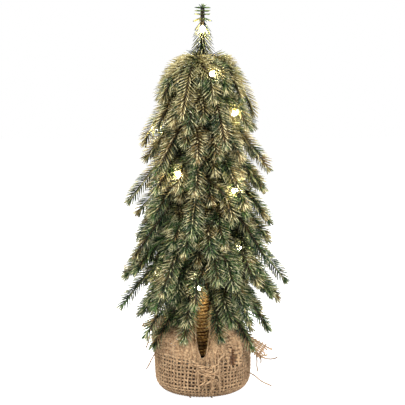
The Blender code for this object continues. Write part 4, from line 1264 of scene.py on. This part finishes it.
# ------------------------------------------------------------------ burlap
@dataclass
class Burlap:
    """The coarse cloth drawn up round the base, woven thread by thread."""

    plan: TwigPlan
    cloth: float = 0.0015
    corner: float = 0.016
    bulge: float = 0.0006
    warp_count: int = 80
    weft_pitch: float = 0.0038
    cover: float = 0.575
    half_thickness: float = 0.00055
    wave: float = 0.00058
    opening_half_angle: float = 15.0
    opening_depth: float = 0.90
    folds: int = 9
    fold_depth: float = 0.0014
    loose_radius: float = 0.0007
    gather_threads: int = 22
    open_patch_at: float = -101.0
    pinch_at: float = -84.0
    pinch_width: float = 24.0
    fold_at: float = -53.0
    fold_height: float = 0.0425
    hairs: int = 520

    def __post_init__(self) -> None:
        """Reads the bag's sizes from the frame and lays out its profile."""
        low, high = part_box("burlap_wrap")
        pot_low, pot_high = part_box("base_pot")
        self.base_radius = pot_high[0] + self.cloth + 0.0003
        self.hem_radius = 0.03025
        self.shoulder_z = pot_high[2] + 0.003
        self.neck_radius = self.plan.wrap_foot + 2 * (0.0016 + 0.0005) + self.cloth + 0.0003
        self.neck_z = self.shoulder_z + 0.043
        self.chance = np.random.default_rng(23)
        outline = self._outline()
        self.profile, self.run = evenly_spaced(
            np.column_stack([outline, np.zeros(len(outline))]), 0.0004
        )
        self.shoulder_run = float(np.interp(self.shoulder_z, self.profile[:, 1], self.run))

    def _outline(self) -> Array:
        """The middle of the cloth from the hem to the collar, as radius and height."""
        inset = self.cloth / 2
        radius = self.corner - inset
        flat = self.base_radius - self.corner
        points = [(self.hem_radius, inset)]
        for angle in np.linspace(0, np.pi / 2, 14):
            points.append((flat + radius * np.sin(angle), self.corner - radius * np.cos(angle)))
        rise = self.neck_z - self.shoulder_z
        over = (self.base_radius - 0.0085, self.shoulder_z + 0.023)
        run = over[0] - self.neck_radius
        upper = [
            (self.base_radius + self.bulge, (self.corner + self.shoulder_z) / 2),
            (self.base_radius + self.bulge / 2, self.shoulder_z),
            (self.base_radius - 0.0010, self.shoulder_z + 0.011),
            over,
            (self.neck_radius + 0.55 * run, self.shoulder_z + 0.72 * rise),
            (self.neck_radius + 0.17 * run, self.shoulder_z + 0.88 * rise),
            (self.neck_radius, self.neck_z),
            (self.neck_radius + 0.003, self.neck_z + 0.0045),
            (self.neck_radius + 0.0075, self.neck_z + 0.0080),
        ]
        points += [(r - inset, z) for r, z in upper]
        line = [(r, z, 0.0) for r, z in points]
        return flowing_line(line, 6)[:, :2]

    def surface(self, degrees: Array, run: Array) -> Array:
        """Points of the cloth's middle.

        Args:
            degrees: Directions round the base.
            run: Distances along the cloth from its hem.

        Returns:
            The points.
        """
        degrees, run = np.broadcast_arrays(np.asarray(degrees, float), np.asarray(run, float))
        radius = np.interp(run, self.run, self.profile[:, 0])
        height = np.interp(run, self.run, self.profile[:, 1])
        turn = wrapped(degrees + 90)
        front = np.exp(-((turn / self.opening_half_angle) ** 2)) * self.opening_depth
        above = run > self.shoulder_run
        shoulder_radius = self.base_radius + self.bulge / 2 - self.cloth / 2
        ease = smooth_step((height - self.shoulder_z) / (self.neck_z - self.shoulder_z))
        radius = np.where(above, radius + (shoulder_radius - radius) * front, radius)
        height = np.where(above, height + (self.shoulder_z - height) * front, height)
        fold = self.fold_depth * ease * (1 - front) * (1 + np.sin(np.radians(self.folds * degrees))) / 2
        radius = np.where(above, radius + fold, radius)
        radius = radius + self.relief(degrees, height)
        return polar(radius, degrees, height)

    def relief(self, degrees: Array, height: Array) -> Array:
        """How far the cloth stands out from the smooth bag: slack, pleats and the side fold.

        Args:
            degrees: Directions round the base.
            height: Heights.

        Returns:
            Distances outwards.
        """
        wall = smooth_step((height - 0.004) / 0.018)
        slack = 0.0006 * np.sin(np.radians(5 * degrees + 40)) * np.sin(height * 90 + np.radians(2 * degrees))
        pleats = 0.0
        for at, lean, width, rise, foot in self.pleats():
            middle = at + lean * (self.neck_z - height) / MILLIMETRE
            apart = wrapped(degrees - middle) / width
            fade = smooth_step((height - foot) / 0.020)
            pleats = pleats + rise * fade * np.exp(-(apart**2))
        _, edge = self.side_fold(degrees, height)
        pockets = 0.0
        for at, width, middle, tall, rise in self.pockets():
            apart = wrapped(degrees - at) / width
            pockets = pockets + rise * np.exp(-(apart**2) - ((height - middle) / tall) ** 2)
        return wall * (slack + pleats) + 0.0030 * edge + pockets

    @staticmethod
    def pockets() -> tuple[tuple[float, float, float, float, float], ...]:
        """Each place where slack cloth stands out: direction, width, height, spread and rise."""
        return (
            (198.0, 26.0, 0.063, 0.012, 0.0125),
            (-16.0, 24.0, 0.058, 0.011, 0.0065),
            (-118.0, 9.0, 0.060, 0.012, 0.0045),
            (-66.0, 8.0, 0.058, 0.012, 0.0045),
            (60.0, 22.0, 0.061, 0.012, 0.0070),
            (125.0, 20.0, 0.059, 0.012, 0.0075),
        )

    @staticmethod
    def pleats() -> tuple[tuple[float, float, float, float, float], ...]:
        """Each pleat: direction at the neck, lean per millimetre down, width, rise and foot."""
        return (
            (-103.0, 0.10, 3.0, 0.0026, 0.014),
            (-93.0, 0.04, 2.8, 0.0034, 0.006),
            (-84.0, 0.00, 2.8, 0.0040, 0.004),
            (-75.0, -0.04, 3.0, 0.0034, 0.008),
            (-65.0, -0.12, 3.4, 0.0028, 0.014),
            (-128.0, 0.16, 4.0, 0.0024, 0.022),
            (-38.0, -0.10, 4.0, 0.0026, 0.020),
            (-150.0, 0.05, 4.5, 0.0013, 0.030),
            (20.0, 0.05, 4.5, 0.0015, 0.024),
            (75.0, -0.08, 4.5, 0.0014, 0.028),
            (130.0, 0.08, 4.5, 0.0015, 0.026),
            (170.0, 0.02, 4.0, 0.0013, 0.030),
        )

    def side_fold(self, degrees: Array, height: Array) -> tuple[Array, Array]:
        """The drop-shaped mouth of a fold on the front's right.

        Returns:
            A share that is 1 in the mouth, and one that is 1 along its rim.
        """
        arc = wrapped(degrees - self.fold_at) * 0.87
        up = (height - self.fold_height) / MILLIMETRE
        half = np.clip(6.0 - 0.32 * (up + 4), 1.2, 6.6)
        above = np.clip(up - 2, 0, None) / 11.0
        below = np.clip(-up - 2, 0, None) / 6.0
        reach = np.sqrt((arc / half) ** 2 + above**2 + below**2)
        inside = 1 - smooth_step((reach - 0.75) / 0.35)
        edge = np.exp(-(((reach - 1.35) / 0.42) ** 2))
        return inside, edge

    def shaded(self, tone: float, degrees: Array, height: Array) -> Array:
        """A thread's tone along it, with painted shade in the mouth of the side fold and a painted highlight
        along its rim.
        """
        inside, edge = self.side_fold(degrees, height)
        return np.clip(tone * (1 - inside) - 0.9 * inside + 0.3 * edge, -1.5, 1.3)

    def normals(self, degrees: Array, run: Array) -> Array:
        """The cloth's outward directions."""
        turn, step = 0.25, 0.0004
        side = self.surface(degrees + turn, run) - self.surface(degrees - turn, run)
        up = self.surface(degrees, run + step) - self.surface(degrees, run - step)
        return unit(np.cross(side, up))

    def gathered(self, degrees: Array, run: Array) -> Array:
        """Directions of upright threads, drawn together at the front pinch."""
        apart = wrapped(degrees - self.pinch_at)
        height = np.interp(run, self.run, self.profile[:, 1])
        pull = 0.42 * smooth_step((height - 0.006) / 0.045)
        return degrees - apart * pull * np.exp(-((apart / self.pinch_width) ** 2))

    def half_width(self, spacing: Array, degrees: Array, height: Array) -> Array:
        """Half a thread's width for the space that it has, thinner where the weave is pulled open."""
        apart = wrapped(degrees - self.open_patch_at)
        pulled = np.exp(-((apart / 9.0) ** 2) - ((height - 0.019) / 0.009) ** 2)
        inside, _ = self.side_fold(degrees, height)
        closed = 0.60 * smooth_step((height - self.shoulder_z) / 0.010) + 0.5 * inside
        return np.minimum(self.cover * spacing / 2, 0.0014) * (1 - 0.28 * pulled + closed)

    def weave(self, shape: Shape) -> None:
        """Adds the upright and the level threads, over and under one another.

        Args:
            shape: The growing mesh.
        """
        length = self.run[-1]
        rows = int(length / self.weft_pitch)
        first = 0.5 * self.weft_pitch
        for i in range(self.warp_count):
            base = 360.0 * i / self.warp_count
            run = np.arange(0.0, length, self.weft_pitch / 2)
            wobble = np.interp(run, np.linspace(0, length, 14), self.chance.uniform(-0.45, 0.45, 14))
            degrees = self.gathered(base + wobble, run)
            beyond = self.gathered(np.full_like(run, base + 360.0 / self.warp_count), run)
            line = self.surface(degrees, run)
            home = self.gathered(np.full_like(run, base), run)
            spacing = np.linalg.norm(self.surface(beyond, run) - self.surface(home, run), axis=1)
            normal = self.normals(degrees, run)
            swing = np.cos(np.pi * ((run - first) / self.weft_pitch + i))
            line = line + normal * (self.wave * swing)[:, None]
            wide = self.half_width(spacing, degrees, line[:, 2])
            tone = self.shaded(self.chance.uniform(0.05, 1.0), degrees, line[:, 2])
            shape.add_tube(line, wide, self.half_thickness, normal, 6, tone=tone, along=run)
        for j in range(rows):
            run = first + j * self.weft_pitch
            step = np.arange(2 * self.warp_count)
            base = 180.0 * step / self.warp_count
            knots = self.chance.uniform(-0.00032, 0.00032, 24)
            drift = np.interp(step / len(step), np.arange(25) / 24, np.append(knots, knots[0]))
            runs = run + drift
            degrees = self.gathered(base, runs)
            line = self.surface(degrees, runs)
            normal = self.normals(degrees, runs)
            swing = -np.cos(np.pi * (step / 2 + j))
            line = line + normal * (self.wave * swing)[:, None]
            above = self.surface(degrees, runs + self.weft_pitch / 2)
            below = self.surface(degrees, runs - self.weft_pitch / 2)
            spacing = np.linalg.norm(above - below, axis=1)
            wide = self.half_width(spacing, degrees, line[:, 2])
            along = lengths_along(line)
            tone = self.shaded(self.chance.uniform(0.05, 1.0), degrees, line[:, 2])
            numbers = {"tone": tone, "along": along}
            shape.add_tube(line, wide, self.half_thickness, normal, 6, closed=True, **numbers)

    def fray(self, shape: Shape) -> None:
        """Adds the corner flaps, the loose threads and the hairs.

        Args:
            shape: The growing mesh.
        """
        for start, end, droop, threads, cross in self.flaps():
            self.add_flap(shape, np.array(start), np.array(end), droop, threads, cross)
        for points in self.loose_threads():
            line = flowing_line(np.array(points) * MILLIMETRE, 6)
            run = np.linspace(0, 0.03, len(line))
            shape.add_tube(line, self.loose_radius, sides=5, tone=self.chance.uniform(-0.3, 0.3), along=run)
        self.add_gathers(shape)
        length = self.run[-1]
        for _ in range(self.hairs):
            degrees = self.chance.uniform(0, 360)
            run = self.chance.uniform(0.1, 1.0) * length
            root = self.surface(np.array(degrees), np.array(run))
            normal = self.normals(np.array(degrees), np.array(run))
            reach = self.chance.uniform(0.002, 0.0058)
            sway = self.chance.normal(0, 0.5, 3)
            aim = unit(normal + sway)
            middle = root + aim * reach * 0.55 + normal * 0.0004
            line = np.array([root, middle, root + aim * reach + sway * 0.0009])
            if line[:, 2].min() < 0.0002:
                continue
            shape.add_tube(line, 0.00007, sides=4, tone=1.0, along=0.0)

    def add_gathers(self, shape: Shape) -> None:
        """Adds the slack threads that run down from the front opening."""
        steps = 40
        share = np.linspace(0, 1, steps)
        for number in range(self.gather_threads):
            side = -1 if number % 3 == 0 else 1
            top = -90 + side * self.chance.uniform(8, 24)
            foot = self.pinch_at + self.chance.uniform(-11, 15)
            high = self.shoulder_run + self.chance.uniform(0.002, 0.016)
            low = self.shoulder_run - self.chance.uniform(0.014, 0.030)
            sway = self.chance.uniform(-2.2, 2.2) * np.sin(np.pi * share * self.chance.uniform(1.0, 2.2))
            degrees = top + (foot - top) * smooth_step(share) + sway
            run = high + (low - high) * share
            normal = self.normals(degrees, run)
            line = self.surface(degrees, run) + normal * self.chance.uniform(0.0014, 0.0032)
            wide = self.chance.uniform(0.00045, 0.00085)
            shape.add_tube(line, wide, sides=5, tone=self.chance.uniform(0.2, 1.3), along=run)

    @staticmethod
    def flaps() -> tuple[tuple[tuple[float, ...], tuple[float, ...], float, int, int], ...]:
        """Each frayed corner: its start, its end, sag, and threads along and across."""
        return (
            ((0.040, -0.022, 0.060), (0.063, -0.029, 0.045), 0.004, 7, 7),
            ((-0.036, -0.018, 0.078), (-0.055, -0.025, 0.070), 0.004, 6, 6),
            ((0.012, 0.030, 0.078), (0.020, 0.052, 0.066), 0.006, 8, 5),
            ((-0.016, 0.026, 0.078), (-0.030, 0.046, 0.064), 0.006, 8, 5),
        )

    @staticmethod
    def loose_threads() -> tuple[tuple[tuple[float, ...], ...], ...]:
        """Threads that hang free at the bag's sides, in millimetres."""
        return (
            ((-50, -20, 64), (-55, -24, 60), (-56, -24, 54), (-58, -25, 49)),
            ((-48, -18, 43), (-52, -22, 37), (-55, -23, 31), (-58, -24, 26)),
            ((56, -24, 43), (62, -27, 39), (70, -29, 38), (77, -30, 40)),
            ((55, -24, 44), (56, -26, 36), (56, -26, 30), (57, -26, 24)),
            ((59, -25, 44), (60, -27, 38), (60, -27, 33)),
            ((47, -20, 22), (54, -24, 19), (61, -27, 14), (71, -30, 10)),
            ((-13, -38, 3), (-13, -40, 1.6), (-12, -42, 0.9)),
            ((8, -38, 3), (9, -41, 1.6), (10, -43, 0.9)),
            ((-20, -40, 52), (-22, -44, 44), (-19, -48, 36), (-17, -50.5, 28)),
            ((14, -44, 54), (15, -49, 46), (14, -52, 36), (16, -52.5, 26)),
        )

    def add_flap(
        self, shape: Shape, start: Array, end: Array, sag: float, threads: int, cross: int
    ) -> None:
        """Adds a small frayed corner of cloth that stands off the bag.

        Args:
            shape: The growing mesh.
            start: Where the flap leaves the bag.
            end: The middle of its outer edge.
            sag: How far it bellies.
            threads: How many threads run out along it.
            cross: How many threads run across it.
        """
        out = end - start
        facing = np.array([0.0, math.copysign(1.0, start[1]), 0.35])
        side = unit(np.cross(out, facing))
        proud = unit(np.cross(side, out))
        share = np.linspace(0, 1, 2 * cross + 5)
        pitch = 0.0021

        def place(t: Array, offset: Array) -> Array:
            """Points of the flap at shares along it and offsets across it."""
            belly = np.sin(np.pi * np.clip(t, 0, 1)) * sag
            curl = (offset / (pitch * threads / 2)) ** 2 * 0.003 * t
            return (
                start
                + out * np.asarray(t)[..., None]
                + side * (offset * (0.55 + 0.5 * np.asarray(t)))[..., None]
                + proud * (belly - curl)[..., None]
            )

        for i in range(threads):
            offset = (i - (threads - 1) / 2) * pitch
            extra = self.chance.uniform(-0.02, 0.22)
            t = share * (1 + extra)
            lift = 0.00035 * np.cos(np.pi * (np.arange(len(t)) / 2 + i))
            line = place(t, np.full_like(t, offset)) + proud * lift[:, None]
            line[-2:] += self.chance.normal(0, 0.0009, (2, 3))
            tone = self.chance.uniform(0.4, 1.0)
            shape.add_tube(line, 0.00088, 0.00045, proud, 5, tone=tone, along=t * 0.03)
        for j in range(cross):
            t = (j + 0.8) / (cross + 0.6)
            offsets = np.linspace(-1.15, 1.15, 2 * threads + 1) * pitch * threads / 2
            lift = -0.00035 * np.cos(np.pi * (np.arange(len(offsets)) / 2 + j))
            line = place(np.full_like(offsets, t), offsets) + proud * lift[:, None]
            tone = self.chance.uniform(0.4, 1.0)
            shape.add_tube(line, 0.00088, 0.00045, proud, 5, tone=tone, along=offsets)

    def build(self, finish: BurlapFinish) -> None:
        """Builds the woven bag and its frayed threads.

        Args:
            finish: The threads' finish.
        """
        material = finish.build()
        woven = Shape(values=("tone", "around", "along"))
        self.weave(woven)
        bag = woven.build("woven_burlap")
        frayed = Shape(values=("tone", "around", "along"))
        self.fray(frayed)
        ends = frayed.build("frayed_burlap")
        for piece in (bag, ends):
            piece.data.materials.append(material)
            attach(piece, TREE_BODY)
            log.info("%s: %d faces", piece.name, len(piece.data.polygons))
        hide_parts("burlap_wrap")


# ------------------------------------------------------------------ lights and battery gear
@dataclass
class LightString:
    """The string of micro lights and its wire."""

    count: int = 10

    def build(self, beads: BeadFinish, wire: MetalFinish) -> None:
        """Dresses the frame's beads and wire.

        Args:
            beads: The lit beads' finish.
            wire: The wire's finish.
        """
        glowing = beads.build()
        for number in range(1, self.count + 1):
            dress(f"led_{number:02d}", glowing)
        dress("light_wire", wire.build())


@dataclass
class BatteryBase:
    """The base's solids, from the pot to the smallest contact."""

    cell_band_from: float = 0.0185

    def build(self) -> None:
        """Dresses every solid of the base."""
        pot = PlasticFinish("brown_pot_plastic", (0.050, 0.028, 0.016), (0.130, 0.085, 0.055), 0.48)
        black = PlasticFinish("black_tray_plastic", (0.016, 0.016, 0.017), (0.060, 0.058, 0.055), 0.42)
        white = PlasticFinish("white_knob_plastic", (0.780, 0.770, 0.740), (0.560, 0.540, 0.500), 0.38)
        board = PlasticFinish("green_board_lacquer", (0.012, 0.110, 0.045), (0.030, 0.170, 0.070), 0.30)
        red = PlasticFinish("red_lead_sleeve", (0.430, 0.020, 0.015), (0.260, 0.020, 0.015), 0.40)
        dark = PlasticFinish("black_lead_sleeve", (0.018, 0.018, 0.020), (0.050, 0.050, 0.050), 0.40)
        nickel = MetalFinish("nickel_plate", (0.720, 0.700, 0.650), (0.450, 0.410, 0.350), 0.26)
        steel = MetalFinish("drawn_steel", (0.480, 0.480, 0.490), (0.280, 0.260, 0.240), 0.36)
        finishes = {
            pot.build(): ("base_pot", "battery_door"),
            black.build(): ("battery_tray", "switch_body"),
            white.build(): ("switch_knob",),
            board.build(): ("timer_board",),
            red.build(): ("lead_positive",),
            dark.build(): ("lead_negative",),
            nickel.build(): ("bridge_contact", "spring_contact", "plate_contact"),
            steel.build(): ("trunk_rod",),
            CementFinish().build(): ("cement_weight",),
            CellFinish("cell_sleeve_one", self.cell_band_from, 1).build(): ("battery_cell_1",),
            CellFinish("cell_sleeve_two", self.cell_band_from, -1).build(): ("battery_cell_2",),
        }
        for material, nodes in finishes.items():
            for node in nodes:
                dress(node, material)


def dress(node: str, material: bpy.types.Material) -> None:
    """Gives a CAD node a material.

    Args:
        node: The node's name.
        material: Its material.
    """
    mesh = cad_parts[node].data
    mesh.materials.clear()
    mesh.materials.append(material)
    log.info("%s: dressed in %s", node, material.name)


# ------------------------------------------------------------------ studio
@dataclass
class Studio:
    """A white room, soft lights and the camera."""

    distance: float = 1.15
    elevation: float = 7.0
    aim_height: float = 0.1962
    lens: float = 98.8
    sensor: float = 36.0
    room_light: float = 0.06
    floor_size: float = 8.0
    floor_below: float = 0.0004
    floor_glow: float = 0.97

    def build(self) -> None:
        """Sets up the world, the floor, the lights and the camera."""
        scene = bpy.context.scene
        scene.view_settings.view_transform = "Standard"
        self._world()
        self._floor()
        self._light("key_light", (-0.75, -0.95, 1.25), 0.6, 34.0)
        self._light("fill_light", (0.95, -0.85, 1.0), 0.6, 23.0)
        self._light("top_light", (0.1, 0.05, 1.5), 0.6, 11.0)
        self._light("back_light", (-0.5, 1.3, 1.1), 0.8, 7.0)
        self._camera(scene)

    def _world(self) -> None:
        """A plain white background that also fills the shadows."""
        world = bpy.data.worlds.new("white_room")
        bpy.context.scene.world = world
        world.use_nodes = True
        background = world.node_tree.nodes["Background"]
        background.inputs["Color"].default_value = (1.0, 1.0, 1.0, 1.0)
        path = world.node_tree.nodes.new("ShaderNodeLightPath")
        strength = world.node_tree.nodes.new("ShaderNodeMapRange")
        strength.inputs["To Min"].default_value = self.room_light
        strength.inputs["To Max"].default_value = 1.0
        world.node_tree.links.new(path.outputs["Is Camera Ray"], strength.inputs["Value"])
        world.node_tree.links.new(strength.outputs["Result"], background.inputs["Strength"])

    def _floor(self) -> None:
        """A pale floor that fades into the background."""
        for obj in bpy.context.selected_objects:
            obj.select_set(False)
        bpy.ops.mesh.primitive_plane_add(size=self.floor_size, location=(0.0, 0.0, -self.floor_below))
        floor = bpy.context.active_object
        floor.name = "floor"
        bpy.ops.object.transform_apply(location=True, rotation=True, scale=True)
        material, tools, shader = new_material("pale_floor", Roughness=0.9, Specular_IOR_Level=0.1)
        tools.feed(shader, "Base Color", (0.75, 0.75, 0.75))
        tools.feed(shader, "Emission Color", (1.0, 1.0, 1.0))
        seen = tools.add("LightPath").outputs["Is Camera Ray"]
        tools.feed(shader, "Emission Strength", tools.math("MULTIPLY", seen, self.floor_glow))
        floor.data.materials.append(material)

    @staticmethod
    def _light(name: str, place: tuple[float, float, float], size: float, power: float) -> None:
        """Adds a soft square light that faces the tree."""
        data = bpy.data.lights.new(name, "AREA")
        data.size = size
        data.energy = power
        light = bpy.data.objects.new(name, data)
        bpy.context.scene.collection.objects.link(light)
        light.location = place
        light.rotation_euler = (Vector((0, 0, 0.2)) - Vector(place)).to_track_quat("-Z", "Y").to_euler()

    def _camera(self, scene: bpy.types.Scene) -> None:
        """Places the camera in front of the tree and a little above it."""
        data = bpy.data.cameras.new("camera")
        data.lens = self.lens
        data.sensor_width = self.sensor
        camera = bpy.data.objects.new("camera", data)
        scene.collection.objects.link(camera)
        aim = Vector((0.0, 0.0, self.aim_height))
        pitch = math.radians(self.elevation)
        camera.location = aim + self.distance * Vector((0, -math.cos(pitch), math.sin(pitch)))
        camera.rotation_euler = (aim - camera.location).to_track_quat("-Z", "Y").to_euler()
        scene.camera = camera


def main() -> None:
    """Builds every piece in order."""
    logging.basicConfig(level=logging.INFO, format="%(name)s: %(message)s")
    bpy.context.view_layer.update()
    plan = TwigPlan()
    Foliage(plan).build(NeedleFinish())
    Trunk(plan).build(CoirFinish())
    Burlap(plan).build(BurlapFinish())
    wire = MetalFinish("lacquered_wire", (0.780, 0.700, 0.560), (0.480, 0.380, 0.240), 0.30)
    LightString().build(BeadFinish(), wire)
    BatteryBase().build()
    Studio().build()


if __name__ == "__main__":
    main()
